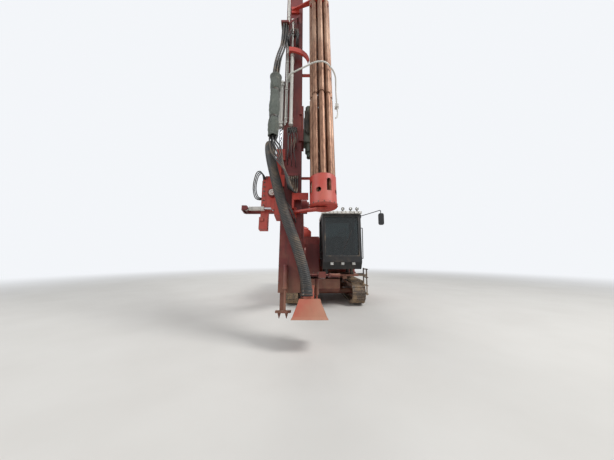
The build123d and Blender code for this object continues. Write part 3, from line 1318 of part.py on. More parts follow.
def cab_lamps():
    """The round work lamps on the roof and the square ones under the windscreen."""
    lamps = []
    y, z = CAB_FRONT + 140, CAB_HIGH + 78
    for x in ROOF_LAMPS:
        lamp = bar((x, y, z), (x, y + 42, z), 47) - bar((x, y - 1, z), (x, y + 6, z), 41)
        back = Pos(x, y + 66, z) * Rot(-90, 0, 0) * Cone(46, 20, 50)
        lamp += back + block((x - 13, x + 13), (y + 8, y + 34), (CAB_HIGH + 8, z - 30))
        lamps.append(lamp + block((x - 34, x + 34), (y, y + 42), (CAB_HIGH + SEAT_GAP, CAB_HIGH + 9)))
    for x in LOW_LAMPS:
        y = CAB_FRONT - SEAT_GAP
        lamp = block((x - 52, x + 52), (y - 60, y), (CAB_FLOOR + 125, CAB_FLOOR + 210))
        lamp = fillet(lamp.edges().filter_by(Axis.Y), 14)
        lamp -= block((x - 44, x + 44), (y - 61, y - 54), (CAB_FLOOR + 133, CAB_FLOOR + 202))
        lamps.append(lamp)
    return lamps


def cab_glass():
    """The fixed panes: windscreen, rear pane, right pane and the small left pane behind the door."""
    gap = SEAT_GAP
    middle = CAB_WALL / 2
    low, high = SCREEN_LOW + gap, SCREEN_HIGH - gap
    panes = [
        side_plate(
            [
                (windscreen_y(low) + middle, low),
                (windscreen_y(high) + middle, high),
                (windscreen_y(high) + middle + GLASS_THICK, high),
                (windscreen_y(low) + middle + GLASS_THICK, low),
            ],
            (CAB_RIGHT + PILLAR + gap, CAB_LEFT - PILLAR - gap),
        )
    ]
    low = SILL_HIGH + gap
    rear = CAB_REAR - middle
    across = (CAB_RIGHT + PILLAR + gap, CAB_LEFT - PILLAR - gap)
    panes.append(block(across, (rear, rear + GLASS_THICK), (low, high)))
    right = CAB_RIGHT + middle
    along = (SCREEN_REAR + 30 + gap, CAB_REAR - PILLAR - gap)
    panes.append(block((right, right + GLASS_THICK), along, (low, high)))
    left = CAB_LEFT - middle
    panes.append(
        block((left, left + GLASS_THICK), (DOOR_REAR + 90 + gap, CAB_REAR - PILLAR - gap), (low, high))
    )
    return panes


def cab_door():
    """The door's frame, with its knuckles and handle, and its pane."""
    front, rear = DOOR_FRONT + RUN_GAP, DOOR_FRONT + DOOR_WIDTH - RUN_GAP
    low, high = DOOR_LOW + RUN_GAP, DOOR_HIGH - RUN_GAP
    inner = CAB_LEFT - DOOR_THICK
    door = block((inner, CAB_LEFT), (front, rear), (low, high))
    window = ((front + 70, rear - 70), (SILL_HIGH - 60, high - 70))
    door -= block((inner - 1, CAB_LEFT + 1), *window)
    for z in HINGES:
        knuckle = block((CAB_LEFT - 5, HINGE_X + 14), (HINGE_Y - 70, HINGE_Y), (z - 28, z + 30))
        knuckle += bar((HINGE_X, HINGE_Y, z - 28), (HINGE_X, HINGE_Y, z + 30), 14)
        door += knuckle - bar((HINGE_X, HINGE_Y, z - 29), (HINGE_X, HINGE_Y, z + 31), 7.3)
    grip = hose_along(
        [
            (CAB_LEFT - 2, front + 38, SILL_HIGH - 260),
            (CAB_LEFT + 42, front + 38, SILL_HIGH - 260),
            (CAB_LEFT + 42, front + 38, SILL_HIGH - 100),
            (CAB_LEFT - 2, front + 38, SILL_HIGH - 100),
        ],
        10,
    )
    door += grip
    gap = SEAT_GAP
    (y0, y1), (z0, z1) = window
    middle = CAB_LEFT - DOOR_THICK / 2
    across = (middle - GLASS_THICK / 2, middle + GLASS_THICK / 2)
    pane = block(across, (y0 + gap, y1 - gap), (z0 + gap, z1 - gap))
    return door, pane


def operator_seat():
    """The seat's cushion and back on its pedestal."""
    x, y = SEAT_X, SEAT_Y
    floor = CAB_FLOOR + CAB_FLOOR_THICK + SEAT_GAP
    base = block((x - 160, x + 160), (y - 180, y + 180), (floor, floor + 260))
    cushion = block((x - 240, x + 240), (y - 260, y + 220), (floor + 260 + SEAT_GAP, floor + 380))
    back = side_plate(
        [(y + 130, floor + 380), (y + 230, floor + 380), (y + 300, floor + 1000), (y + 210, floor + 1000)],
        (x - 220, x + 220),
    )
    return base, cushion + back


def consoles():
    """The two arm consoles with their levers, and the screen on its post."""
    floor = CAB_FLOOR + CAB_FLOOR_THICK + SEAT_GAP
    pieces = []
    for side in (-1, 1):
        x = SEAT_X + side * 335
        console = side_plate(
            [
                (SEAT_Y - 420, floor + 430),
                (SEAT_Y - 300, floor),
                (SEAT_Y + 120, floor),
                (SEAT_Y + 160, floor + 520),
                (SEAT_Y - 400, floor + 560),
            ],
            (x - 75, x + 75),
        )
        console += bar((x, SEAT_Y - 290, floor + 520), (x, SEAT_Y - 310, floor + 690), 13)
        console += Pos(x, SEAT_Y - 312, floor + 700) * Sphere(30)
        pieces.append(console)
    post_x, post_y = CAB_RIGHT + 170, CAB_FRONT + 330
    screen = bar((post_x, post_y, floor), (post_x, post_y, floor + 640), 24)
    screen += block((post_x - 40, post_x + 210), (post_y - 40, post_y + 15), (floor + 600, floor + 860))
    pieces.append(screen)
    return pieces


def mirror():
    """The mirror on its long arm, held at the cab's front left pillar."""
    x, y = MIRROR
    low, high = MIRROR_LEVELS
    path = [(CAB_LEFT + 8, CAB_FRONT + 110, 2750), (x - 10, y, high + 90), (x, y, high + 60)]
    path.append((x, y, low + 60))
    arm = pipe(path, 11, 24)
    arm += block((CAB_LEFT + SEAT_GAP, CAB_LEFT + 14), (CAB_FRONT + 80, CAB_FRONT + 140), (2690, 2790))
    head = block((x - 78, x + 78), (y - 45, y - 5), (low, high))
    head = fillet(head.edges().filter_by(Axis.Y), 52)
    arm += fillet(head.edges().group_by(Axis.Y)[0], 14)
    arm += block((x - 16, x + 16), (y - 20, y + 14), (low + 120, low + 180))
    return arm


# Rear body


def canopy_profile(inset):
    """The engine canopy's (x, z) outline, drawn in by inset."""
    half = CANOPY_WIDTH / 2 - inset
    high = CANOPY_HIGH - inset
    slope = 110 + inset * 0.4
    return [
        (-half, DECK_HIGH + SEAT_GAP),
        (-half, high - slope),
        (-half + slope, high),
        (half - slope, high),
        (half, high - slope),
        (half, DECK_HIGH + SEAT_GAP),
    ]


def canopy():
    """The engine canopy: a folded shell with a doorway on each side and the grille's opening behind."""
    shell = front_plate(canopy_profile(0), (CANOPY_FRONT, CANOPY_REAR))
    inner = [(x, z if z > DECK_HIGH + 1 else z - 10) for x, z in canopy_profile(CANOPY_WALL)]
    shell -= front_plate(inner, (CANOPY_FRONT + CANOPY_WALL, CANOPY_REAR - CANOPY_WALL))
    for side in (-1, 1):
        low, high = sorted((side * (CANOPY_WIDTH / 2 - CANOPY_WALL - 5), side * (CANOPY_WIDTH / 2 + 5)))
        shell -= block((low, high), CANOPY_DOOR_Y, CANOPY_DOOR_Z)
        x = side * (CANOPY_WIDTH / 2 + 16)
        near, far = sorted((side * (CANOPY_WIDTH / 2 - 5), x + side * 12))
        for z in CANOPY_HINGES:
            y = CANOPY_DOOR_Y[1]
            shell += block((near, far), (y, y + 60), (z - 52, z - 27))
            shell += bar((x, y, z - 52), (x, y, z - 27), 12)
            shell += bar((x, y, z - 40), (x, y, z + 26), 6)
    shell -= block((-GRILLE_HALF, GRILLE_HALF), (CANOPY_REAR - 50, CANOPY_REAR + 10), (1150, 2080))
    # Raised hatches on the top, pressed with sloping edges
    long = (CANOPY_REAR - CANOPY_FRONT) / 2
    for part in (0.27, 0.73):
        hatch = extrude(Rectangle(HATCH_WIDTH, long - 160), HATCH_RISE + 4, taper=40)
        shell += Pos(HATCH_X, CANOPY_FRONT + part * 2 * long, CANOPY_HIGH - 4) * hatch
    return shell


def canopy_door(side):
    """One side door of the canopy, with its knuckles."""
    y0, y1 = CANOPY_DOOR_Y[0] + RUN_GAP, CANOPY_DOOR_Y[1] - RUN_GAP
    z0, z1 = CANOPY_DOOR_Z[0] + RUN_GAP, CANOPY_DOOR_Z[1] - RUN_GAP
    face = CANOPY_WIDTH / 2
    low, high = sorted((side * (face - CANOPY_WALL), side * face))
    door = block((low, high), (y0, y1), (z0, z1))
    sill = z0 + 130
    for row in range(LOUVRES):
        z = sill + row * LOUVRE_PITCH
        for bay in ((y0 + 110, (y0 + y1) / 2 - 30), ((y0 + y1) / 2 + 30, y1 - 110)):
            door -= block((low - 1, high + 1), bay, (z, z + 26))
            blade = [(face - 4, z + 36), (face + 24, z + 8), (face + 24, z + 3), (face - 4, z + 27)]
            door += front_plate([(side * across, at) for across, at in blade], bay)
    x = side * (face + 16)
    near, far = sorted((side * (face - 5), x + side * 12))
    for z in CANOPY_HINGES:
        y = CANOPY_DOOR_Y[1]
        knuckle = block((near, far), (y - 60, y), (z - 23, z + 22))
        knuckle += bar((x, y, z - 23), (x, y, z + 22), 12)
        door += knuckle - bar((x, y, z - 24), (x, y, z + 23), 6.3)
    low, high = sorted((side * (face - 3), side * (face + 28)))
    door += block((low, high), (y0 + 50, y0 + 75), (1500, 1640))
    return door


def engine():
    """The engine as one plain block on its two bearers."""
    motor = block((-330, 330), (250, 1500), (DECK_HIGH + 80, DECK_HIGH + 820))
    for y in (400, 1300):
        motor += block((-420, 420), (y - 60, y + 60), (DECK_HIGH + SEAT_GAP, DECK_HIGH + 120))
    return motor


def radiator():
    """The cooler behind the grille."""
    return block((-780, 780), (CANOPY_REAR - 300, CANOPY_REAR - 150), (DECK_HIGH + SEAT_GAP, 2100))


def grille():
    """The slatted grille in the canopy's rear opening."""
    half = GRILLE_HALF - SEAT_GAP
    low, high = 1150 + SEAT_GAP, 2080 - SEAT_GAP
    rear = CANOPY_REAR
    frame = block((-half, half), (rear - 30, rear), (low, high))
    frame -= block((-half + 50, half - 50), (rear - 31, rear + 1), (low + 50, high - 50))
    count = 10
    step = (high - low - 100) / count
    for number in range(1, count):
        z = low + 50 + number * step
        frame += block((-half + 45, half - 45), (rear - 28, rear - 6), (z - 9, z + 9))
    frame += block((-15, 15), (rear - 29, rear - 2), (low + 40, high - 40))
    return frame


def dust_collector():
    """The dust separator on the right of the deck: ribbed housing, hopper, air header, fan and inlet."""
    x0, x1 = COLLECTOR_X
    y0, y1 = COLLECTOR_Y
    low, high = COLLECTOR_LOW, COLLECTOR_HIGH
    x, y = (x0 + x1) / 2, (y0 + y1) / 2
    slope = 70
    shoulder = high - slope
    outline = [(x0, low), (x1, low), (x1, shoulder), (x1 - slope, high), (x0 + slope, high), (x0, shoulder)]
    housing = front_plate(outline, (y0, y1))
    faces = Pos(x, y, low + 5) * Rectangle(x1 - x0, y1 - y0) + Pos(x, y, low - 410) * Rectangle(240, 260)
    housing += loft(faces.faces())
    housing += bar((x, y, low - 500), (x, y, low - 400), 110)
    housing += bar((x, y, low - 425), (x, y, low - 400), 135)
    # Folded ribs round the housing, and its front door with two handles
    for at in (low + 40, low + 330, low + 620):
        housing += block((x0 - 16, x1 + 16), (y0 + 60, y1 + 16), (at, at + 34))
    door = block((x0 + 60, x - 110), (y0 - 22, y0 + 2), (low + 60, high - 130))
    housing += fillet(door.edges().filter_by(Axis.Y), 30)
    for at in (low + 200, high - 280):
        grip = [(x - 150, y0 - 20, at), (x - 150, y0 - 50, at)]
        grip += [(x - 150, y0 - 50, at + 90), (x - 150, y0 - 20, at + 90)]
        housing += hose_along(grip, 9)
    for foot_x in (x0 + 30, x1 - 30):
        for foot_y in (y0 + 30, y1 - 30):
            spot = (foot_x - 25, foot_x + 25), (foot_y - 25, foot_y + 25)
            housing += block(*spot, (DECK_HIGH + SEAT_GAP, low + 10))
    # Air header with its pulse valves
    header_y = y0 + 130
    housing += bar((x0 + 90, header_y, high + 34), (x1 - 90, header_y, high + 34), 42)
    for number in range(PULSE_VALVES):
        valve_x = x0 + 130 + number * (x1 - x0 - 260) / (PULSE_VALVES - 1)
        housing += bar((valve_x, header_y + 95, high - 5), (valve_x, header_y + 95, high + 58), 34)
        housing += bar((valve_x, header_y, high + 34), (valve_x, header_y + 95, high + 34), 17)
    # Fan housing with its outlet collar
    housing += bar((x, y1 - 230, high - 10), (x, y1 - 230, high + 150), 210)
    housing += bar((x, y1 - 230, high + 140), (x, y1 - 230, high + 190), 120, 100)
    housing += bar((INLET[0], INLET[1] + SEAT_GAP, INLET[2]), (INLET[0], y0 + 5, INLET[2]), 105)
    return housing


def tank():
    """The hydraulic oil tank behind the cab."""
    body = block((150, 1120), (-640, -200), (DECK_HIGH + SEAT_GAP, 1980))
    return body + bar((400, -420, 1975), (400, -420, 2010), 70)


def exhaust():
    """The exhaust pipe on the canopy, with its guard and bent outlet."""
    x, y = -700, 1500
    low = CANOPY_HIGH + SEAT_GAP
    stack = bar((x, y, low), (x, y, low + 330), 75)
    outlet = [(x, y, low + 320), (x, y, low + 430), (x, y + 70, low + 480), (x, y + 190, low + 490)]
    stack += hose_along(outlet, 50)
    stack += bar((x, y, low), (x, y, low + 22), 120)
    return stack


def handrails():
    """The guard rails along the canopy's roof edges."""
    rails = []
    for side in (-1, 1):
        x = side * (CANOPY_WIDTH / 2 - 180)
        low, high = CANOPY_HIGH + SEAT_GAP, CANOPY_HIGH + 420
        rail = pipe([(x, 0, low), (x, 0, high), (x, 2000, high), (x, 2000, low)], 19, 110)
        for y in (700, 1350):
            rail += bar((x, y, low), (x, y, high), 17)
        rails.append(rail)
    return rails


def ladder():
    """The ladder outboard of the left track."""
    half = DECK_WIDTH / 2
    steps = None
    for y in (-1640, -1240):
        stringer = block((1264, 1300), (y - 12, y + 12), (370, 1180))
        stringer += block((half - 130 + SEAT_GAP, 1270), (y - 12, y + 12), (DECK_HIGH - 58, DECK_HIGH - 2))
        steps = stringer if steps is None else steps + stringer
    for z in (390, 640, 890, 1140):
        steps += block((1262, 1330), (-1650, -1230), (z, z + 26))
    return steps


def jack():
    """The rear jack: its barrel under the deck's tail, and its rod with the foot plate."""
    y, high = DECK_REAR - 170, DECK_HIGH - DECK_THICK - SEAT_GAP
    barrel = bar((0, y, high - 430), (0, y, high), 75, 0)
    barrel -= bar((0, y, high - 431), (0, y, high - 20), 45 + SEAT_GAP)
    barrel += block((-130, 130), (y - 110, y + 110), (high - 20, high))
    rod = bar((0, y, 400), (0, y, high - 40), 45)
    rod += Pos(0, y, 365) * Cylinder(150, 30) + bar((0, y, 370), (0, y, 420), 70)
    return barrel, rod


# Suction hose


def suction_hose():
    """The big suction hose on the feed beam: from the hood up across the beam and over its side."""
    points = [
        (DUCT_X, DUCT_Y, HOOD_HEIGHT + 40 + SEAT_GAP),
        (DUCT_X, DUCT_Y, HOOD_HEIGHT + 130),
        (-75, -285, 720),
        (-210, -320, 1180),
        (-430, -330, 1750),
        (-640, -320, 2500),
        (-800, -240, 3150),
        HOSE_BEFORE_TOP,
        HOSE_TOP,
    ]
    return MAST * hose_along(points, HOSE_RADIUS)


def suction_hose_rear():
    """The rest of the suction hose, from the mast's side back to the dust collector."""
    along = Vector(*mast_point(*HOSE_TOP)) - Vector(*mast_point(*HOSE_BEFORE_TOP))
    start = Vector(*mast_point(*HOSE_TOP)) + along.normalized() * SEAT_GAP
    points = [
        tuple(start),
        tuple(start + along.normalized() * 240),
        (-1400, -3150, 3420),
        (-1330, -2650, 2850),
        (-1150, -2200, 2480),
        (-980, -1750, INLET[2] + 30),
        (INLET[0], -1480, INLET[2]),
        INLET,
    ]
    return hose_along(points, HOSE_RADIUS)


# Assembly


def build():
    """Every node of the machine, by name."""
    lift_barrel, lift_rod = lift_cylinder()
    swing_barrel, swing_rod = swing_cylinder()
    feed_barrel, feed_rod = feed_swing_cylinder()
    extension_barrel, extension_rod = extension_cylinder()
    hood_barrel, hood_rod = hood_cylinder()
    door, door_pane = cab_door()
    seat_base, seat = operator_seat()
    jack_barrel, jack_rod = jack()
    return {
        "chassis": [chassis(), tow_eye()],
        "track_frame_left": track_frame(1),
        "track_frame_right": track_frame(-1),
        "track_left": track_loop(1),
        "track_right": track_loop(-1),
        "deck": [deck(), jack_barrel],
        "canopy": canopy(),
        "canopy_door_left": canopy_door(1),
        "canopy_door_right": canopy_door(-1),
        "engine": engine(),
        "radiator": radiator(),
        "rear_grille": grille(),
        "dust_collector": dust_collector(),
        "oil_tank": tank(),
        "exhaust": exhaust(),
        "handrails": handrails(),
        "ladder": ladder(),
        "jack_foot": jack_rod,
        "cab_shell": cab_shell(),
        "cab_floor": [cab_floor(), *cab_mounts()],
        "cab_roof": cab_roof(),
        "cab_glass": cab_glass(),
        "cab_lamps": cab_lamps(),
        "cab_door": door,
        "cab_door_glass": door_pane,
        "seat": seat,
        "consoles": [seat_base, *consoles()],
        "mirror": mirror(),
        "boom_stand": [boom_stand(), swing_barrel],
        "swing_rod": swing_rod,
        "swing_bracket": swing_bracket(),
        "lift_barrel": lift_barrel,
        "lift_rod": lift_rod,
        "boom": boom_arm(),
        "tilt_bracket": tilt_bracket(),
        "feed_swing_barrel": feed_barrel,
        "feed_swing_rod": feed_rod,
        "feed_holder": feed_holder(),
        "extension_rod": extension_rod,
        "extension_barrel": extension_barrel,
        "feed_beam": feed_beam(),
        "carousel_brackets": carousel_brackets(),
        "carousel_frame": carousel_frame(),
        "drill_tubes": drill_tubes(),
        "tube_arms": tube_arms(),
        "carriage": carriage(),
        "rock_drill": rock_drill(),
        "centralizer": [centralizer(), hood_barrel],
        "centralizer_jaw": centralizer_jaw(),
        "dust_hood": [dust_hood(), hood_rod],
        "feed_cylinder": feed_cylinder(),
        "mast_pipes": mast_pipes(),
        "guard_bow": guard_bow(),
        "hose_sleeve": hose_sleeve(),
        "mast_hoses": mast_hoses(),
        "drill_hoses": drill_hoses(),
        "boom_hoses": boom_hoses(),
        "suction_hose": suction_hose(),
        "suction_hose_rear": suction_hose_rear(),
    }


def as_compound(shape):
    """One shape, or a list of separate ones, as the solids of one compound."""
    shapes = shape if isinstance(shape, list) else [shape]
    return Compound([solid for one in shapes for solid in one.solids()])


os.makedirs("parts", exist_ok=True)
nodes = {name: as_compound(shape) for name, shape in build().items()}
whole = Compound(list(nodes.values())).bounding_box()
to_origin = Pos(-whole.center().X, -whole.center().Y, 0)
for name, shape in nodes.items():
    export_step(to_origin * shape, f"parts/{name}.step")
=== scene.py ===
# %% [markdown]
# # Dressing a crawler drilling rig
# The imported CAD model already stands on the ground, in metres. This lesson adds what the eye looks for:
# worn paint, dusty shoes, a ribbed suction hose, lamp glass, bolts and dirt. We load the frame first.
# Nothing that we add may stand outside it.

import bmesh
import bpy
import random
from math import acos, atan2, cos, exp, hypot, pi, radians, sin
from mathutils import Matrix, Vector


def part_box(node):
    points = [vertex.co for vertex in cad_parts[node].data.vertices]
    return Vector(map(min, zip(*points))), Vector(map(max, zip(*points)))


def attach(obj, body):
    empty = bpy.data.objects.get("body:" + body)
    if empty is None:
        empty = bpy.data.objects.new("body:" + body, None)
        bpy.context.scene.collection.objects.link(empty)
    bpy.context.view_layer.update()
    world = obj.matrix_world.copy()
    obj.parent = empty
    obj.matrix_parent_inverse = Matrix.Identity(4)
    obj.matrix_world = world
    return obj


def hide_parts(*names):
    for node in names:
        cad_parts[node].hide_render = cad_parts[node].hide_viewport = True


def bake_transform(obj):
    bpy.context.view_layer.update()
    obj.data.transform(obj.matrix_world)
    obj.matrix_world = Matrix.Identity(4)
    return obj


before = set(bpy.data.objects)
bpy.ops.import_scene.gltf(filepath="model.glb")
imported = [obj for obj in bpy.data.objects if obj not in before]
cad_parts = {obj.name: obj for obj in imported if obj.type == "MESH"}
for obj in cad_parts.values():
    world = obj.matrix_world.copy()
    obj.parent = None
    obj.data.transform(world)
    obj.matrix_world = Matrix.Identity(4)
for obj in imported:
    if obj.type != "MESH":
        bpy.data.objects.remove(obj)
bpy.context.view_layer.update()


def placed(name, data):
    """A new object in the scene."""
    piece = bpy.data.objects.new(name, data)
    bpy.context.scene.collection.objects.link(piece)
    return piece


# %% [markdown]
# ## The camera
# The picture was taken with a very wide lens at eye height, close to the dust hood, and tilted up a little.
# The focal length comes from how fast the tubes narrow towards the top.

# %% Camera
FOCUS_PIXELS, PICTURE_WIDTH, SENSOR = 230.0, 614.0, 36.0
TILT_UP = 6.2
camera_data = bpy.data.cameras.new("site_camera")
camera_data.sensor_width = SENSOR
camera_data.lens = SENSOR * FOCUS_PIXELS / PICTURE_WIDTH
camera_data.clip_end = 200.0
camera = placed("site_camera", camera_data)
camera.location = (-0.4365, -7.52, 1.6)
camera.rotation_euler = (radians(90 + TILT_UP), 0, 0)
bpy.context.scene.camera = camera
print("lens", round(camera_data.lens, 2), "mm")

# %% [markdown]
# ## Shader maths in plain Python
# A worn finish is mostly arithmetic: noise times a mask, plus a little more noise. So one small class wraps
# a socket, and Python's own operators add the Math nodes. A second class is one material, with a single
# method that adds any other node.


# %% The two shader classes
class Value:
    """A socket of a material, on which + - and * add Math nodes."""

    def __init__(self, finish, socket):
        self.finish, self.socket = finish, socket

    def math(self, operation, *inputs):
        return self.finish.node("Math", dict(enumerate(inputs)), operation=operation)

    def __add__(self, other):
        return self.math("ADD", self, other)

    def __sub__(self, other):
        return self.math("SUBTRACT", self, other)

    def __rsub__(self, other):
        return self.math("SUBTRACT", other, self)

    def __mul__(self, other):
        return self.math("MULTIPLY", self, other)

    __radd__ = __add__
    __rmul__ = __mul__

    def between(self, low, high):
        """0 below low, 1 above high, and a smooth step between."""
        sockets = {"Value": self, "From Min": low, "From Max": high}
        return self.finish.node("MapRange", sockets, interpolation_type="SMOOTHSTEP")


class Finish:
    """The nodes of one material, or of the world. surface() links them to the shader."""

    def __init__(self, name, owner=None, shader="Principled BSDF"):
        self.owner = owner or bpy.data.materials.new(name)
        self.owner.use_nodes = True
        self.tree = self.owner.node_tree
        self.shader = self.tree.nodes[shader]
        self.spot = self.node("TexCoord", out="Object")

    def node(self, kind, sockets=None, out=0, **settings):
        """A node of a kind, with its settings made first, then its sockets, and one output as the result."""
        made = self.tree.nodes.new("ShaderNode" + kind)
        for name, value in settings.items():
            setattr(made, name, value)
        for name, value in (sockets or {}).items():
            self.feed(made.inputs[name], value)
        return Value(self, made.outputs[out])

    def feed(self, socket, value):
        if isinstance(value, Value):
            self.tree.links.new(value.socket, socket)
        else:
            socket.default_value = value

    def surface(self, base, rough, relief=None, deep=0.001, strength=0.5, **others):
        """Gives the shader its colour, its roughness, a bump from relief, and any other socket."""
        if relief:
            bump = {"Height": relief, "Distance": deep, "Strength": strength}
            others["Normal"] = self.node("Bump", bump)
        for name, value in {"Base Color": base, "Roughness": rough, **others}.items():
            self.feed(self.shader.inputs[name.replace("_", " ")], value)
        return self

    def seen_directly(self):
        """1 for rays from the camera, metal or glass, and 0 for light that falls on the object."""
        kinds = ("Camera", "Glossy", "Transmission")
        camera, glossy, through = (self.node("LightPath", out=f"Is {kind} Ray") for kind in kinds)
        return camera.math("MAXIMUM", camera.math("MAXIMUM", camera, glossy), through)

    def fade(self, share, other, output):
        """Puts another shader in place of this one, by a share, before the output."""
        own = Value(self, self.shader.outputs[0])
        mixed = self.node("MixShader", {0: share, 1: own, 2: other})
        self.tree.links.new(mixed.socket, self.tree.nodes[output].inputs["Surface"])

    def noise(self, scale, detail=4.0, roughness=0.55, spot=None):
        """Noise from 0 to 1 with features about 1 / scale metres across."""
        sockets = {"Vector": spot or self.spot, "Scale": scale, "Detail": detail, "Roughness": roughness}
        return self.node("TexNoise", sockets)

    def cells(self, scale):
        """The distance to the nearest of many scattered points."""
        return self.node("TexVoronoi", {"Vector": self.spot, "Scale": scale})

    def waves(self, axis, scale, distortion=0.0):
        """Stripes that follow one another along an axis."""
        sockets = {"Vector": self.spot, "Scale": scale, "Distortion": distortion}
        return self.node("TexWave", sockets, bands_direction=axis)

    def stretched(self, x, y, z):
        """The object's coordinates with each axis scaled, for streaks."""
        return self.node("Mapping", {"Vector": self.spot, "Scale": (x, y, z)})

    def mix(self, share, one, two):
        """A colour between two others, from the Mix node's colour sockets 6 and 7 to its output 2."""
        return self.node("Mix", {0: share, 6: one, 7: two}, out=2, data_type="RGBA")

    def upward(self, vector):
        """A vector's part along Z."""
        return self.node("SeparateXYZ", {0: vector}, "Z")

    def facing_up(self):
        """1 on faces that look up, 0 on upright ones, below 0 underneath."""
        return self.upward(self.node("NewGeometry", out="Normal"))

    def edges(self, radius):
        """0 on flat faces and towards 1 on sharp corners: a rounded normal against the true one."""
        rounded = self.node("Bevel", {"Radius": radius}, samples=4)
        both = {0: rounded, 1: self.node("NewGeometry", out="Normal")}
        return 1 - self.node("VectorMath", both, "Value", operation="DOT_PRODUCT")


def colour(red, green, blue):
    """A colour as it is seen, 0 to 255, in the linear light that shaders use."""
    linear = [((c / 255 + 0.055) / 1.055) ** 2.4 if c > 10 else c / 255 / 12.92 for c in (red, green, blue)]
    return (*linear, 1)


print("a rusty red in linear light:", [round(c, 3) for c in colour(150, 60, 40)])

# %% [markdown]
# ## Floor and light
# A plain pale floor keeps the shadow of the hood and the tracks. The faces that look at us are in soft
# shade, so one broad lamp stands high on one side and two weaker ones fill in. The camera, metal and glass
# see the grey world as near white, and far out the floor fades into that same white.

# %% Floor, lamps and world
bpy.ops.object.select_all(action="DESELECT")
bpy.ops.mesh.primitive_plane_add(size=120, location=(0, 0, 0))
floor = bpy.context.object
floor.name = "floor"
# Each lamp: its place, the point that it looks at, its size in metres and its power in watts.
LAMPS = {
    "key_lamp": ((11, -9, 16), (0, -1.5, 3), 6, 2600),
    "fill_lamp": ((-13, -10, 8), (0, 0, 3), 9, 850),
    "rear_lamp": ((-4, 15, 14), (0, 0, 3), 8, 1200),
}
for name, (place, towards, size, power) in LAMPS.items():
    data = bpy.data.lights.new(name, "AREA")
    data.size, data.energy = size, power
    lamp = placed(name, data)
    lamp.location = place
    lamp.rotation_euler = (Vector(towards) - Vector(place)).to_track_quat("-Z", "Y").to_euler()
BACKGROUND = (0.9, 0.92, 0.95, 1)
studio = Finish("studio", bpy.data.worlds.new("studio"), "Background")
bpy.context.scene.world = studio.owner
studio.shader.inputs["Color"].default_value = (0.8, 0.83, 0.88, 1)
studio.shader.inputs["Strength"].default_value = 0.42
studio.fade(studio.seen_directly(), studio.node("Background", {"Color": BACKGROUND}), "World Output")
bpy.context.scene.view_settings.view_transform = "Standard"
print("lamps", list(LAMPS))

# %% [markdown]
# ## Painted steel
# Enamel fails in a set order. The sun fades red to pink, and the faces that look up get that pale colour
# most, which is partly real fading and partly painted sunlight. Grit takes it off along the corners, where
# primer and rust come through. Water and dust run down, and near the ground all of it goes tan. One
# function builds that stack for every colour.

# %% Painted steel
DUST, RUST, PRIMER = colour(168, 142, 112), colour(96, 52, 30), colour(58, 46, 42)


def painted(name, paint, faded_and_sunlit, worn=1.0, dusty=1.0):
    """Enamel with fading and painted sunlight on the tops, chips at the corners, rain streaks and dust
    towards the ground.
    """
    finish = Finish(name)
    cloud = finish.noise(0.9, 5)
    grain = finish.noise(38, 3)
    # Paler on faces that look up and in random clouds: sun fading, and on the tops also painted sunlight.
    fade = finish.facing_up().between(-0.2, 1.0) * 0.55 + cloud.between(0.42, 0.72) * 0.55
    base = finish.mix(fade, colour(*paint), colour(*faded_and_sunlit))
    streak = finish.noise(3.0, 5, spot=finish.stretched(3.2, 3.2, 0.22)).between(0.52, 0.74)
    grime = tuple(c * 0.32 for c in colour(*paint)[:3]) + (1,)
    base = finish.mix(streak * 0.5, base, grime)
    chips = finish.edges(0.012) * 5 + finish.noise(9, 6, 0.7) * 0.75 + grain * 0.2 - 0.86
    scuffs = finish.noise(5.5, 8, 0.75).between(0.68, 0.73) * 0.8
    bare = chips.between(0.0, 0.16) * worn + scuffs * worn * 0.55
    bare = bare.between(0.0, 1.0)
    base = finish.mix(bare, base, finish.mix(grain, RUST, PRIMER))
    low = 1 - finish.upward(finish.spot).between(0.1, 2.2)
    film = cloud * 0.9 + finish.noise(4.2, 6) * 0.5 + low * 0.5 + finish.facing_up() * 0.22 - 0.62
    film = film.between(0.1, 0.75) * (0.62 * dusty)
    rough = film * 0.34 + bare * 0.3 + grain * 0.1 + 0.42
    relief = grain * 0.12 + cloud * 0.2 - bare * 0.7
    return finish.surface(finish.mix(film, base, DUST), rough, relief, 0.0016, 0.6)


red_paint = painted("faded_and_sunlit_red", (176, 50, 36), (212, 118, 106))
# The same red darkened as painted shade, for the frame, the deck, the boom, the beam and the parts on them.
painted_shade_red = painted("shaded_red", (92, 22, 20), (146, 56, 50), worn=1.1, dusty=0.8)
grey_paint = painted("grey_enamel", (74, 76, 78), (120, 122, 122))
black_paint = painted("black_enamel", (24, 24, 26), (58, 57, 56), worn=0.7)
pale_paint = painted("pale_enamel", (206, 204, 196), (228, 226, 220), worn=0.8, dusty=0.8)
drill_green = painted("grey_green_enamel", (72, 84, 72), (116, 124, 112), worn=1.2)
print("painted finishes", 6)

# %% [markdown]
# ## Bare steels
# The tubes have rusted to an even brown, rubbed lighter in long scratches by the arms. The shoes are
# polished where they meet the ground and packed with dry soil elsewhere. The rods are hard chrome.


# %% Bare steels
def rusty_tube(name):
    finish = Finish(name)
    long_grain = finish.noise(6, 6, 0.6, spot=finish.stretched(7, 7, 0.35))
    speck = finish.noise(60, 4)
    base = finish.mix(long_grain.between(0.3, 0.7), colour(104, 70, 52), colour(158, 120, 96))
    base = finish.mix(speck.between(0.55, 0.75) * 0.6, base, colour(70, 42, 30))
    base = finish.mix(finish.noise(1.3, 4).between(0.5, 0.75) * 0.5, base, colour(186, 156, 132))
    relief = long_grain * 0.4 + speck * 0.25
    return finish.surface(base, speck * 0.25 + 0.38, relief, 0.0012, 0.7, Metallic=0.55)


tube_steel = rusty_tube("rust_brown_tube")
exhaust_steel = rusty_tube("burnt_exhaust")

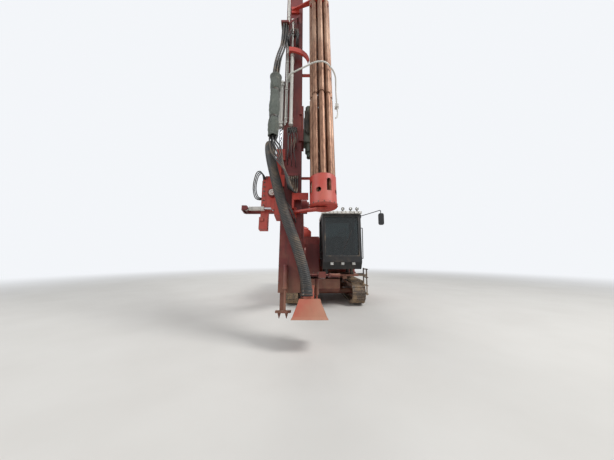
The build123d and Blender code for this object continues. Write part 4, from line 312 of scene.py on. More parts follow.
track_steel = Finish("soil_packed_steel")
soil = (track_steel.noise(3, 6, 0.65) + track_steel.noise(24, 4) * 0.35).between(0.52, 0.82)
polish = track_steel.edges(0.01).between(0.02, 0.2)
speck = track_steel.noise(70, 3)
steel = track_steel.mix(speck, colour(62, 52, 46), colour(96, 82, 70))
steel = track_steel.mix(polish * 0.7, steel, colour(160, 152, 144))
packed = track_steel.mix(speck, colour(128, 104, 80), colour(176, 152, 122))
relief = soil * 0.8 + speck * 0.3
base = track_steel.mix(soil, steel, packed)
track_steel.surface(base, soil * 0.5 + 0.42, relief, 0.004, 0.8, Metallic=polish * 0.7)

chrome = Finish("hard_chrome")
rub = chrome.noise(50, 4, spot=chrome.stretched(1, 1, 0.3))
base = chrome.mix(rub.between(0.55, 0.8) * 0.5, colour(196, 198, 202), colour(150, 146, 140))
chrome.surface(base, rub * 0.16 + 0.1, Metallic=1.0)

bare_steel = Finish("rubbed_steel")
rub = bare_steel.noise(14, 6, 0.6)
base = bare_steel.mix(rub.between(0.35, 0.7), colour(120, 112, 104), colour(84, 62, 50))
bare_steel.surface(base, rub * 0.3 + 0.3, rub, 0.0008, 0.5, Metallic=0.85)
print("steels", 5)

# %% [markdown]
# ## Rubber, glass, plastic and cloth
# Old hoses aren't black: dust turns them grey on top. The panes are tinted and smeared. The seat's weave is
# two crossed waves that a bump turns into threads.


# %% Rubber, glass and plastic
def old_rubber(name, tone, dust):
    finish = Finish(name)
    speck = finish.noise(45, 4)
    film = finish.noise(3.4, 6) * 0.9 + finish.facing_up() * 0.2 + speck * 0.15
    film = film.between(0.5, 0.85) * dust
    rubber = finish.mix(speck, colour(tone, tone, tone), colour(tone + 22, tone + 22, tone + 22))
    return finish.surface(finish.mix(film, rubber, DUST), film * 0.3 + 0.52, speck, 0.0008, 0.4)


black_rubber = old_rubber("old_black_rubber", 30, 0.5)
hose_rubber = old_rubber("ribbed_hose_rubber", 38, 0.62)

tinted_glass = Finish("tinted_glass")
smear = tinted_glass.noise(5, 6, 0.7, spot=tinted_glass.stretched(1, 1, 0.4)).between(0.5, 0.8)
tint = tinted_glass.mix(smear * 0.4, colour(84, 98, 100), colour(150, 150, 142))
tinted_glass.surface(tint, smear * 0.1 + 0.01, Transmission_Weight=0.92, IOR=1.45)

dark_plastic = Finish("moulded_plastic")
film = dark_plastic.noise(4, 5).between(0.45, 0.8) * 0.35
base = dark_plastic.mix(film, colour(30, 30, 32), DUST)
dark_plastic.surface(base, film * 0.2 + 0.62, dark_plastic.cells(260), 0.0004, 0.15)

# %% Seat cloth and the floor
seat_cloth = Finish("woven_seat_cloth")
thread = seat_cloth.waves("X", 90, 0.4) * seat_cloth.waves("Z", 90, 0.4)
base = seat_cloth.mix(thread, colour(28, 28, 32), colour(66, 66, 72))
base = seat_cloth.mix(seat_cloth.noise(6, 5).between(0.5, 0.8) * 0.45, base, colour(120, 108, 92))
seat_cloth.surface(base, 0.92, thread, 0.001, 0.3, Sheen_Weight=0.2)

ground = Finish("pale_floor")
pale = ground.mix(ground.noise(0.7, 6), colour(206, 203, 197), colour(220, 218, 213))
ground.surface(pale, 0.9, ground.noise(30, 4), 0.002, 0.3)
floor.data.materials.append(ground.owner)
distance = ground.node("VectorMath", {0: ground.spot}, "Value", operation="LENGTH")
far = distance.between(10, 24) * ground.seen_directly()
ground.fade(far, ground.node("Emission", {"Color": BACKGROUND}), "Material Output")
print("soft finishes", 5)

# %% [markdown]
# ## Finishes on the CAD parts
# Every CAD part keeps its shape and gets the finish of the real piece, except that the frame, the deck,
# the boom, the beam and the parts on them get the red darkened with painted shade. One table holds them
# all, so a wrong finish is easy to spot, and a part that it forgets is printed.

# %% Finish of each CAD part
finish_of = {
    red_paint: "canopy canopy_door_left canopy_door_right oil_tank dust_collector feed_holder "
    "carousel_brackets carousel_frame dust_hood handrails",
    # These parts take the red darkened with painted shade.
    painted_shade_red: "chassis track_frame_left track_frame_right deck boom_stand swing_bracket lift_barrel boom "
    "tilt_bracket feed_beam carriage centralizer centralizer_jaw",
    grey_paint: "engine",
    black_paint: "radiator rear_grille ladder cab_lamps mirror tube_arms cab_shell cab_door",
    pale_paint: "cab_roof feed_swing_barrel extension_barrel feed_cylinder mast_pipes guard_bow",
    drill_green: "rock_drill",
    tube_steel: "drill_tubes",
    exhaust_steel: "exhaust",
    track_steel: "track_left track_right",
    chrome: "jack_foot swing_rod lift_rod feed_swing_rod extension_rod",
    black_rubber: "cab_floor mast_hoses drill_hoses boom_hoses",
    hose_rubber: "suction_hose suction_hose_rear hose_sleeve",
    tinted_glass: "cab_glass cab_door_glass",
    dark_plastic: "consoles",
    seat_cloth: "seat",
}
finish_by_name = {name: finish for finish, names in finish_of.items() for name in names.split()}
for name, finish in finish_by_name.items():
    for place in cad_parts[name].material_slots:
        place.material = finish.owner
print("CAD parts without a finish:", sorted(set(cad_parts) - set(finish_by_name)))

# %% [markdown]
# ## Finding places on the machine
# The machine was drawn about the middle of its tracks, and the mast about the drilling line, ten degrees
# off upright. Small functions turn those measures into scene metres, so each bolt is placed in the numbers
# that a mechanic would use.

# %% Places
MACHINE_SHIFT = Vector((0.1335, 1.380107, 0))
LEAN = radians(10)
MAST_FOOT = Vector((-0.527, -4.75, 0.5))
MAST_UP = Vector((0, sin(LEAN), cos(LEAN)))
MAST_BACK = Vector((0, cos(LEAN), -sin(LEAN)))
MAST_FRONT = -MAST_BACK
LEFT, FORWARD, UP = Vector((1, 0, 0)), Vector((0, -1, 0)), Vector((0, 0, 1))


def machine(x, y, z):
    """A point of the machine, with y from the middle of the tracks to the rear."""
    return Vector((x, y, z)) + MACHINE_SHIFT


def on_mast(x, y, along):
    """A point of the mast: x to the left, y behind the drilling line, and how far up."""
    return MAST_FOOT + LEFT * x + MAST_BACK * y + MAST_UP * along + MACHINE_SHIFT


def facing(point, way, roll=0.0):
    """The matrix that stands a piece at a point with its Z along a way."""
    turn = Vector(way).to_track_quat("Z", "Y").to_matrix().to_4x4()
    return Matrix.Translation(point) @ turn @ Matrix.Rotation(roll, 4, "Z")


def framed(point, x, y, z):
    """The same, with all three axes given."""
    return Matrix.Translation(point) @ Matrix((x, y, z)).transposed().to_4x4()


print("the mast's foot stands at", [round(c, 3) for c in on_mast(0, 0, 0)])

# %% [markdown]
# ## The modelling bench
# Every added piece starts as a primitive and is shaped in edit mode, so the same steps come back: add it
# alone, pick faces or edges by where they are, move, scale, inset, extrude or bevel them, and end the edit.
# Each step gets a short name.

# %% Adding and picking
ACROSS = (pi / 2, 0, 0)


def begin(kind, name, **settings):
    """A primitive with everything else deselected, open in edit mode."""
    bpy.ops.object.select_all(action="DESELECT")
    getattr(bpy.ops.mesh, f"primitive_{kind}_add")(**settings)
    piece = bpy.context.object
    piece.name = name
    bpy.ops.object.transform_apply(location=False, rotation=True, scale=True)
    bpy.ops.object.mode_set(mode="EDIT")
    return piece


def begin_tube(name, sides, radius, length):
    """A cylinder without ends, open in edit mode."""
    return begin("cylinder", name, vertices=sides, radius=radius, depth=length, end_fill_type="NOTHING")


def add(kind, **settings):
    """One more primitive in the open mesh, with only that one selected."""
    bpy.ops.mesh.select_all(action="DESELECT")
    getattr(bpy.ops.mesh, f"primitive_{kind}_add")(**settings)


def pick(piece, test, kind="faces"):
    """Selects the faces, edges or verts that pass a test."""
    bpy.ops.mesh.select_mode(type=kind[:-1].upper())
    bpy.ops.mesh.select_all(action="DESELECT")
    mesh = bmesh.from_edit_mesh(piece.data)
    for element in getattr(mesh, kind):
        corners = [element.co] if kind == "verts" else [corner.co for corner in element.verts]
        if test(sum(corners, Vector()) / len(corners), element):
            element.select_set(True)
    mesh.select_flush_mode()
    bmesh.update_edit_mesh(piece.data)


def pick_top(piece, area=0.0):
    """Selects the faces that look up and are larger than an area."""
    pick(piece, lambda middle, face: face.normal.z > 0.9 and face.calc_area() > area)


def pick_long(piece, length, axis=2):
    """Selects the edges that reach further than a length along an axis."""
    pick(piece, lambda middle, edge: abs(edge.verts[0].co[axis] - edge.verts[1].co[axis]) > length, "edges")


def pick_near(piece, level, reach, axis=2):
    """Selects the points within reach of a level on an axis."""
    pick(piece, lambda middle, vert: abs(middle[axis] - level) < reach, "verts")


# %% Shaping
def grow(x, y, z, about=None):
    """Scales what is selected, about its own middle or a given point."""
    pivot = {"center_override": about} if about else {}
    bpy.ops.transform.resize(value=(x, y, z), **pivot)


def lift(height):
    bpy.ops.transform.translate(value=(0, 0, height))


def inset(width):
    bpy.ops.mesh.inset(thickness=width)


def extrude(height):
    bpy.ops.mesh.extrude_region_move(TRANSFORM_OT_translate={"value": (0, 0, height)})


def bevel(width, segments, affect="EDGES"):
    bpy.ops.mesh.bevel(offset=width, segments=segments, affect=affect)


def end_edit(piece, smooth=40):
    """Leaves edit mode with normals outwards and smooth shading below an angle."""
    bpy.ops.mesh.select_all(action="SELECT")
    bpy.ops.mesh.normals_make_consistent(inside=False)
    bpy.ops.object.mode_set(mode="OBJECT")
    bpy.ops.object.transform_apply(location=True, rotation=True, scale=True)
    bpy.ops.object.shade_smooth_by_angle(angle=radians(smooth))
    return piece


# %% Finishing and copying
def modified(piece, kind, **settings):
    """Adds a modifier of a kind with these settings and applies it."""
    modifier = piece.modifiers.new(kind.lower(), kind)
    for name, value in settings.items():
        setattr(modifier, name, value)
    bpy.ops.object.modifier_apply(modifier=modifier.name)


def open_alone(piece):
    """Makes a piece the active one and the only one selected."""
    bpy.ops.object.select_all(action="DESELECT")
    piece.select_set(True)
    bpy.context.view_layer.objects.active = piece


def fit(piece, finish, body, place=None):
    """Puts a piece in its place and gives it its material and its body."""
    if place:
        piece.data.transform(place)
    piece.data.materials.clear()
    piece.data.materials.append(finish.owner)
    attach(piece, body)
    return piece


def repeat(template, name, places, body, finish=bare_steel):
    """One piece made of a copy of the template's mesh at each place."""
    everything = bmesh.new()
    for place in places:
        one = template.data.copy()
        one.transform(place)
        everything.from_mesh(one)
        bpy.data.meshes.remove(one)
    mesh = bpy.data.meshes.new(name)
    everything.to_mesh(mesh)
    everything.free()
    print(name, "copies", len(places), "faces", len(mesh.polygons))
    return fit(placed(name, mesh), finish, body)


def drop(*templates):
    for template in templates:
        bpy.data.objects.remove(template)


# %% [markdown]
# ## Bolts
# A bolt head tells the eye how big a machine is. It is a short six-sided bar whose top edge is turned down
# to a chamfer, with a washer under it. We shape one and copy it to every flange.

# %% A bolt head
def bolt_head(radius):
    bolt = begin("cylinder", "bolt_template", vertices=6, radius=radius, depth=radius * 0.7)
    lift(radius * 0.6)
    pick_top(bolt)
    inset(radius * 0.16)
    lift(radius * 0.12)
    pick(bolt, lambda middle, face: face.normal.z < -0.9)
    extrude(-radius * 0.02)
    grow(1.45, 1.45, 1)
    extrude(-radius * 0.24)
    return end_edit(bolt, 25)


def ring_of(middle, way, radius, count):
    """Places round a circle that faces a given way."""
    side = way.orthogonal().normalized()
    other = way.cross(side)
    turns = [2 * pi * number / count for number in range(count)]
    return [facing(middle + radius * (cos(t) * side + sin(t) * other), way, t) for t in turns]


bolt = bolt_head(0.013)
hub_bolts = []
for side in (-1, 1):
    hub_bolts += ring_of(machine(side * 1.207, 1.288, 0.418), LEFT * side, 0.115, 12)
repeat(bolt, "final_drive_bolts", hub_bolts, "carrier")
drop(bolt)

# %% [markdown]
# ## The suction hose
# Dust leaves the hood through a hose as thick as a thigh, with a steel helix under its rubber, which shows
# as a row of rings. One ring is a short open cylinder, an Array modifier lines the rings up, and a Curve
# modifier bends the row along the corners of the plain CAD hose.

# %% The ringed hose
def smooth_route(name, points, steps=24):
    """A NURBS curve with these points, for pieces that follow a hose."""
    data = bpy.data.curves.new(name, "CURVE")
    data.dimensions = "3D"
    spline = data.splines.new("NURBS")
    spline.points.add(len(points) - 1)
    for control, point in zip(spline.points, points):
        control.co = (*point, 1)
    spline.order_u = 3
    spline.use_endpoint_u = True
    data.resolution_u = steps
    return placed(name, data)


HOSE_RADIUS, PITCH, HOSE_SIDES = 0.093, 0.03, 26


def ringed_hose(name, points, body, replaced):
    """A corrugated hose along a route, in place of a plain CAD hose."""
    hose = begin_tube(name, HOSE_SIDES, HOSE_RADIUS, PITCH)
    bpy.ops.transform.rotate(value=pi / 2, orient_axis="Y", center_override=(0, 0, 0))
    bpy.ops.transform.translate(value=(PITCH / 2, 0, 0))
    pick_long(hose, PITCH / 2, axis=0)
    bpy.ops.mesh.subdivide(number_cuts=3)
    for middle, width in ((0.25, 1.0), (0.5, 1.06), (0.75, 1.0)):
        pick_near(hose, middle * PITCH, 0.05 * PITCH, axis=0)
        grow(1, width, width, (PITCH / 2, 0, 0))
    for end in (0.0, PITCH):
        pick_near(hose, end, 0.001, axis=0)
        grow(1, 0.93, 0.93, (end, 0, 0))
    end_edit(hose, 80)
    route = smooth_route(name + "_route", points)
    joined = {"use_merge_vertices": True, "merge_threshold": 0.0005}
    modified(hose, "ARRAY", fit_type="FIT_CURVE", curve=route, **joined)
    modified(hose, "CURVE", object=route, deform_axis="POS_X")
    bpy.data.objects.remove(route)
    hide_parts(replaced)
    print(name, "faces", len(hose.data.polygons))
    return fit(hose, hose_rubber, body)


UP_THE_MAST = (
    (-0.045, -0.19, 0.37),
    (-0.045, -0.19, 0.46),
    (-0.075, -0.285, 0.72),
    (-0.21, -0.32, 1.18),
    (-0.43, -0.33, 1.75),
    (-0.64, -0.32, 2.5),
    (-0.8, -0.24, 3.15),
    (-0.85, 0.0, 3.6),
    (-0.88, 0.33, 3.62),
)
TO_THE_FAN = (
    (-1.4, -3.15, 3.42),
    (-1.33, -2.65, 2.85),
    (-1.15, -2.2, 2.48),
    (-0.98, -1.75, 2.345),
    (-0.9, -1.48, 2.315),
    (-0.9, -1.29, 2.315),
)
front_route = [on_mast(*spot) for spot in UP_THE_MAST]
top = front_route[-1]
leaving = (top - front_route[-2]).normalized()
rear_route = [top, top + leaving * 0.24] + [machine(*spot) for spot in TO_THE_FAN]
ringed_hose("ringed_hose_front", front_route, "feed_beam", "suction_hose")
whole = ringed_hose("ringed_hose_rear", rear_route, "carrier", "suction_hose_rear")

# %% [markdown]
# ## The hose over the joints
# Behind the mast the hose crosses five joints on its way to the fan. The ringed mesh is cut between two
# rings into five pieces, one for each joint.

# %% Five pieces of the rear hose
RING_FACES = HOSE_SIDES * 4
rings = len(whole.data.polygons) // RING_FACES
HOSE_BODIES = ("feed_beam", "feed_holder", "tilt_bracket", "boom", "swing_bracket", "carrier")
HOSE_SHARES = (0.0, 0.26, 0.4, 0.64, 0.84, 1.0)


for front, back, start, end in zip(HOSE_BODIES, HOSE_BODIES[1:], HOSE_SHARES, HOSE_SHARES[1:]):
    first, last = round(start * rings), round(end * rings)
    piece = placed("ringed_hose_" + back, whole.data.copy())
    open_alone(piece)
    bpy.ops.object.mode_set(mode="EDIT")
    pick(piece, lambda middle, face: not first * RING_FACES <= face.index < last * RING_FACES)
    bpy.ops.mesh.delete(type="FACE")
    bpy.ops.object.mode_set(mode="OBJECT")
    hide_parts("suction_hose_rear")
    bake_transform(piece)
drop(whole)
print("rear hose of", rings, "rings in", len(HOSE_BODIES) - 1, "pieces")

# %% [markdown]
# ## Hose cuffs and their clamps
# A ringed hose can't be clamped on its rings, so each end has a smooth cuff with two swollen rims, held by
# a steel band whose screw sits in a little housing.

# %% Cuffs and clamps
CUFF_LENGTH = 0.13
cuff = begin_tube("cuff_template", 40, HOSE_RADIUS + 0.004, CUFF_LENGTH)
pick_long(cuff, CUFF_LENGTH / 2)
bpy.ops.mesh.subdivide(number_cuts=5)
for end in (-CUFF_LENGTH / 2, CUFF_LENGTH / 2):
    pick_near(cuff, end, CUFF_LENGTH * 0.2)
    grow(1.05, 1.05, 1, (0, 0, end))
end_edit(cuff)
modified(cuff, "SOLIDIFY", thickness=0.006)

CLAMP_RADIUS, CLAMP_WIDTH = HOSE_RADIUS + 0.009, 0.016
clamp = begin_tube("clamp_template", 40, CLAMP_RADIUS, CLAMP_WIDTH)
bpy.ops.mesh.extrude_region_move()
grow(1.03, 1.03, 1)
add("cube", size=CLAMP_WIDTH * 1.3, location=(CLAMP_RADIUS * 1.06, 0, 0))
grow(0.7, 1.5, 1)
bevel(CLAMP_WIDTH * 0.18, 2)
screw = {"radius": CLAMP_WIDTH * 0.3, "depth": CLAMP_WIDTH * 2.6, "location": (CLAMP_RADIUS * 1.07, 0, 0)}
add("cylinder", vertices=8, rotation=ACROSS, **screw)
end_edit(clamp, 30)

cuffed = {
    "feed_beam": (front_route[:2], front_route[:-3:-1], rear_route[:2]),
    "carrier": (rear_route[:-3:-1],),
}
for body, corners in cuffed.items():
    cuffs, bands = [], []
    for corner, beside in corners:
        inwards = (beside - corner).normalized()
        spot = corner + inwards * 0.066
        cuffs.append(facing(spot, inwards))
        bands += [facing(spot + inwards * shift, inwards, 1.0) for shift in (-0.035, 0.02)]
    repeat(cuff, f"hose_cuffs_{body}", cuffs, body, black_rubber)
    repeat(clamp, f"hose_clamps_{body}", bands, body)
drop(cuff, clamp)

# %% [markdown]
# ## The woven sleeve
# The oil hoses run up beside the mast in a sleeve of heavy woven cloth, tied at two places and open at the
# top. A cylinder with many rings gives the tube. Pulling its points in and out gives the ties, the flared
# mouth, long folds and small wrinkles.

# %% Sleeve cloth
sleeve_cloth = Finish("grey_woven_sleeve")
thread = sleeve_cloth.waves("X", 60, 1.5) * sleeve_cloth.waves("Z", 60, 1.5)
stain = sleeve_cloth.noise(2.4, 6, 0.65, spot=sleeve_cloth.stretched(1.6, 1.6, 0.5))
base = sleeve_cloth.mix(thread, colour(74, 80, 74), colour(128, 134, 124))
base = sleeve_cloth.mix(stain.between(0.42, 0.7) * 0.6, base, colour(60, 56, 50))
base = sleeve_cloth.mix(sleeve_cloth.noise(5, 5).between(0.58, 0.8) * 0.5, base, colour(170, 158, 138))
sleeve_cloth.surface(base, 0.95, thread * 0.5 + stain, 0.003, 0.8, Sheen_Weight=0.2)

# %% The sleeve
SLEEVE_X, SLEEVE_Y = -0.735, -0.305
SLEEVE_LOW, SLEEVE_HIGH = 3.5, 5.06
SLEEVE_LENGTH = SLEEVE_HIGH - SLEEVE_LOW
SLEEVE_RADIUS, SLEEVE_RINGS = 0.1, 96
TIES = (0.295, 0.75)
sleeve = begin_tube("woven_sleeve", 72, SLEEVE_RADIUS, SLEEVE_LENGTH)
pick_long(sleeve, 1)
bpy.ops.mesh.subdivide(number_cuts=SLEEVE_RINGS)


def sleeve_radius(share):
    """How wide the sleeve is at a share of its height."""
    ties = sum(0.02 * exp(-(((share - tie) / 0.02) ** 2)) for tie in TIES)
    return 0.094 + 0.012 * sin(share * pi * 3.1) ** 2 + 0.034 * share**9 - ties


open_mesh = bmesh.from_edit_mesh(sleeve.data)
for vert in open_mesh.verts:
    share = vert.co.z / SLEEVE_LENGTH + 0.5
    turn = atan2(vert.co.y, vert.co.x)
    fold = 0.006 * sin(5 * turn + 4 * share) + 0.004 * sin(11 * turn - 9 * share)
    wrinkle = 0.0035 * sin(70 * share + 3 * sin(2 * turn)) * sin(3 * turn + 11 * share)
    reach = (sleeve_radius(share) + fold * (1 - share**6) + wrinkle * (1 - share**8)) / SLEEVE_RADIUS
    vert.co.x, vert.co.y = vert.co.x * reach, vert.co.y * reach
bmesh.update_edit_mesh(sleeve.data)
end_edit(sleeve, 70)
modified(sleeve, "SOLIDIFY", thickness=0.004, offset=-1)
sleeve.data.transform(facing(on_mast(SLEEVE_X, SLEEVE_Y, (SLEEVE_LOW + SLEEVE_HIGH) / 2), MAST_UP))
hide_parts("hose_sleeve")
fit(sleeve, sleeve_cloth, "feed_beam")

# %% [markdown]
# ## Straps, ferrules and fittings
# Two webbing straps tie the sleeve to its brackets. Every oil hose ends in a crimped ferrule and a hexagon
# nut, which make a black line read as a pressure hose. Both are made once and copied.

# %% Straps round the sleeve
strap = begin_tube("strap_template", 48, 0.094, 0.045)
bpy.ops.mesh.extrude_region_move()
grow(1.05, 1.05, 1)
add("cube", size=0.04, location=(0, -0.1, 0))
grow(1.4, 0.5, 1.3)
bevel(0.005, 2)
end_edit(strap, 30)
ties = [facing(on_mast(SLEEVE_X, SLEEVE_Y, SLEEVE_LOW + share * SLEEVE_LENGTH), MAST_UP) for share in TIES]
repeat(strap, "sleeve_straps", ties, "feed_beam", black_rubber)
drop(strap)

# %% Ferrules
def ferrule(radius):
    """A crimped hose end: a grooved barrel with a hexagon nut."""
    fitting = begin("cylinder", "ferrule_template", vertices=16, radius=radius * 1.22, depth=radius * 2.6)
    lift(radius * 1.9)
    pick_long(fitting, radius)
    bpy.ops.mesh.subdivide(number_cuts=4)
    for share in (0.2, 0.6):
        level = radius * (0.6 + 2.6 * share)
        pick_near(fitting, level, radius * 0.05)
        grow(0.88, 0.88, 1, (0, 0, level))
    add("cylinder", vertices=6, radius=radius * 1.5, depth=radius * 0.9, location=(0, 0, radius * 0.4))
    bevel(radius * 0.08, 1)
    return end_edit(fitting, 35)


fitting, small = ferrule(0.017), ferrule(0.011)
hose_ends, drill_ends = [], []
for number in range(7):
    turn, ring = 2 * pi * number / 6, 0.062 if number < 6 else 0.0
    across, front = SLEEVE_X + 0.165 + ring * cos(turn), SLEEVE_Y + 0.02 + ring * sin(turn)
    hose_ends.append(facing(on_mast(across, front, 6.6995), -MAST_UP))
hose_ends += [facing(on_mast(-0.4 + 0.042 * number, -0.19, 2.6595), -MAST_UP) for number in range(5)]
for number in range(3):
    across = -0.078 + 0.028 * number
    drill_ends.append(facing(on_mast(across, -0.1185, 3.76 - 0.034 * number), MAST_FRONT))
    drill_ends.append(facing(on_mast(across, -0.0955, 4.25 + 0.03 * number), MAST_FRONT))
repeat(fitting, "hose_fittings", hose_ends, "feed_beam")
repeat(small, "drill_fittings", drill_ends, "drill_head")
drop(fitting, small)

# %% [markdown]
# ## Window seals
# Glass in a cab sits in a black rubber seal, and without that line a window looks like a hole. A seal is a
# rectangle with a vertex bevel at its corners. Inset makes its rim, the middle goes, and an extrude and a
# small step make the rubber's profile.

# %% Seals round the panes
def seal(name, middle, across, width, height, body="carrier", up=UP):
    """A rubber frame round a pane, from the pane's middle and its two directions."""
    rubber = begin("plane", name, size=1)
    grow(width + 0.05, height + 0.05, 1)
    bevel(0.06, 5, "VERTICES")
    pick(rubber, lambda spot, face: True)
    inset(0.036)
    bpy.ops.mesh.delete(type="FACE")
    bpy.ops.mesh.select_all(action="SELECT")
    extrude(0.012)
    pick(rubber, lambda spot, face: face.normal.z > 0.9 and spot.z > 0.01)
    inset(0.01)
    lift(0.004)
    end_edit(rubber, 50)
    fit(rubber, black_rubber, body, framed(middle, across, up, across.cross(up)))


CAB_RIGHT, CAB_LEFT, CAB_FRONT, CAB_REAR = -0.12, 1.02, -2.25, -0.7
SCREEN_LEAN, SCREEN_LOW, SCREEN_HIGH = 0.055, 1.56, 2.74
screen_up = Vector((0, SCREEN_LEAN, 1)).normalized()
front_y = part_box("cab_glass")[0][1]
pane_height = SCREEN_HIGH - SCREEN_LOW
screen_y = front_y - 0.018 + SCREEN_LEAN * pane_height / 2
screen_spot = Vector((0.45 + MACHINE_SHIFT.x, screen_y, (SCREEN_LOW + SCREEN_HIGH) / 2))
seal("windscreen_seal", screen_spot, LEFT, 0.97, pane_height - 0.02, up=screen_up)
seal("rear_pane_seal", machine(0.45, CAB_REAR, 2.215), -LEFT, 0.97, 1.05)
seal("right_pane_seal", machine(CAB_RIGHT, -1.4025, 2.215), FORWARD, 1.235, 1.05)
seal("left_pane_seal", machine(CAB_LEFT, -0.9025, 2.215), -FORWARD, 0.235, 1.05)
seal("door_pane_seal", machine(CAB_LEFT, -1.56, 2.157), -FORWARD, 0.748, 1.054, "cab_door")
print("windscreen front at y", round(front_y, 3))

# %% [markdown]
# ## Lamp glasses
# A work lamp has a ribbed lens behind a thin rim. The lens is a disc whose rings are lifted into a shallow
# dome, and fine upright ribs come from its bump.

# %% Lamp glass
lamp_glass = Finish("ribbed_lamp_glass")
film = lamp_glass.noise(9, 5).between(0.45, 0.8)
base = lamp_glass.mix(lamp_glass.cells(90).between(0.2, 0.7), colour(226, 226, 218), colour(150, 152, 150))
base = lamp_glass.mix(film * 0.4, base, DUST)
lamp_glass.surface(base, film * 0.3 + 0.12, lamp_glass.waves("X", 48), 0.002, 0.7, Metallic=0.25)

# %% Lenses and rims
LENS = 0.041
lens = begin("cylinder", "lens_template", vertices=32, radius=LENS, depth=0.008)
for rise in (0.35, 0.25, 0.15):
    pick(lens, lambda middle, face: face.normal.z > 0.9 and len(face.verts) > 4)
    inset(LENS * 0.26)
    lift(LENS * rise * 0.3)
end_edit(lens, 60)
steps = {"major_segments": 36, "minor_segments": 8}
rim = begin("torus", "rim_template", major_radius=0.044, minor_radius=0.006, **steps)
pick(rim, lambda middle, face: face.normal.z < -0.5)
grow(1, 1, 0.3)
end_edit(rim, 60)
square = begin("cube", "square_lens_template", size=1)
grow(0.086, 0.067, 0.01)
bevel(0.004, 2)
pick_top(square, 0.001)
inset(0.008)
lift(-0.003)
end_edit(square, 40)


def lamp_places(row, out, height):
    """Places for lamps at these x on the cab's front, out metres behind its face."""
    return [facing(machine(x, CAB_FRONT + out, height), FORWARD) for x in row]


ROOF_ROW = (0.06, 0.505, 0.74, 0.93)
repeat(lens, "roof_lamp_lenses", lamp_places(ROOF_ROW, 0.143, 2.978), "carrier", lamp_glass)
repeat(rim, "roof_lamp_rims", lamp_places(ROOF_ROW, 0.139, 2.978), "carrier", dark_plastic)
low_places = lamp_places((0.14, 0.45, 0.76), -0.0575, 1.3575)
repeat(square, "low_lamp_lenses", low_places, "carrier", lamp_glass)
drop(lens, rim, square)

# %% [markdown]
# ## Wiper, grab rails and mirror glass
# These thin things catch the light. The rails are curves with a round bevel, turned into meshes. The wiper
# tapers from its spindle to the blade, and the mirror is a rounded plate with a chamfer.

# %% Rails
def rail(name, points, radius, finish, body):
    """A bent tube along a few corners, closed at its ends."""
    piece = smooth_route(name, points, 8)
    piece.data.bevel_depth = radius
    piece.data.bevel_resolution = 3
    piece.data.use_fill_caps = True
    open_alone(piece)
    bpy.ops.object.convert(target="MESH")
    bpy.ops.object.shade_smooth_by_angle(angle=radians(50))
    return fit(bpy.context.object, finish, body)


for side, x, out in (("left", CAB_LEFT, LEFT * 0.065), ("right", CAB_RIGHT, LEFT * -0.065)):
    low, high = machine(x, CAB_FRONT + 0.19, 1.5), machine(x, CAB_FRONT + 0.19, 2.4)
    along = (high - low).normalized() * 0.03
    lower_half = [low, low + out * 0.75, low + out, low + out + along]
    upper_half = [high + out - along, high + out, high + out * 0.75, high]
    rail(f"grab_rail_{side}", lower_half + upper_half, 0.0125, black_paint, "carrier")

# %% The wiper
wiper = begin("cube", "wiper", size=1, location=(0, 0, 0.26))
grow(0.022, 0.01, 0.52)
pick_top(wiper)
grow(0.4, 0.7, 1)
extrude(0.04)
add("cube", size=1, location=(0.0, -0.002, 0.5), scale=(0.012, 0.022, 0.62))
bevel(0.003, 1)
add("cylinder", vertices=16, radius=0.026, depth=0.03, rotation=ACROSS)
bevel(0.004, 2)
end_edit(wiper, 30)
spindle = framed(screen_spot + Vector((-0.02, -0.005, -0.56)), LEFT, -LEFT.cross(screen_up), screen_up)
fit(wiper, black_paint, "carrier", spindle @ Matrix.Rotation(radians(24), 4, "Y"))


# %% Mirror glass
def rounded_plate(name, width, height, corner, corner_steps, thick, chamfer, rise, smooth):
    """A thin plate with round corners, whose face rises or sinks within a narrow chamfer."""
    plate = begin("plane", name, size=1)
    grow(width, height, 1)
    bevel(corner, corner_steps, "VERTICES")
    pick(plate, lambda middle, face: True)
    extrude(thick)
    inset(chamfer)
    lift(rise)
    return end_edit(plate, smooth)


mirror_silver = Finish("mirror_silver")
film = mirror_silver.noise(8, 6).between(0.5, 0.8)
silver = mirror_silver.mix(film * 0.5, colour(190, 196, 200), DUST)
mirror_silver.surface(silver, film * 0.3 + 0.05, Metallic=1.0)
glass = rounded_plate("mirror_glass", 0.136, 0.31, 0.045, 6, 0.004, 0.006, 0.002, 40)
fit(glass, mirror_silver, "carrier", facing(machine(1.545, -2.395, 2.62), -FORWARD))

# %% [markdown]
# ## The driver's seat
# The seat shows through the glass, so it can't stay a plain block. A rounded block is remeshed evenly and
# blown up a little by cloth simulation, and then its two seams are pulled in.

# %% Cushions
SEAT_SPOT = machine(0.48, -1.35, 1.2603)
CLOTH_STEPS, MOST_SWELL = 15, 0.016
SEAM_WIDTH, SEAM_DEPTH = 0.02, 0.008


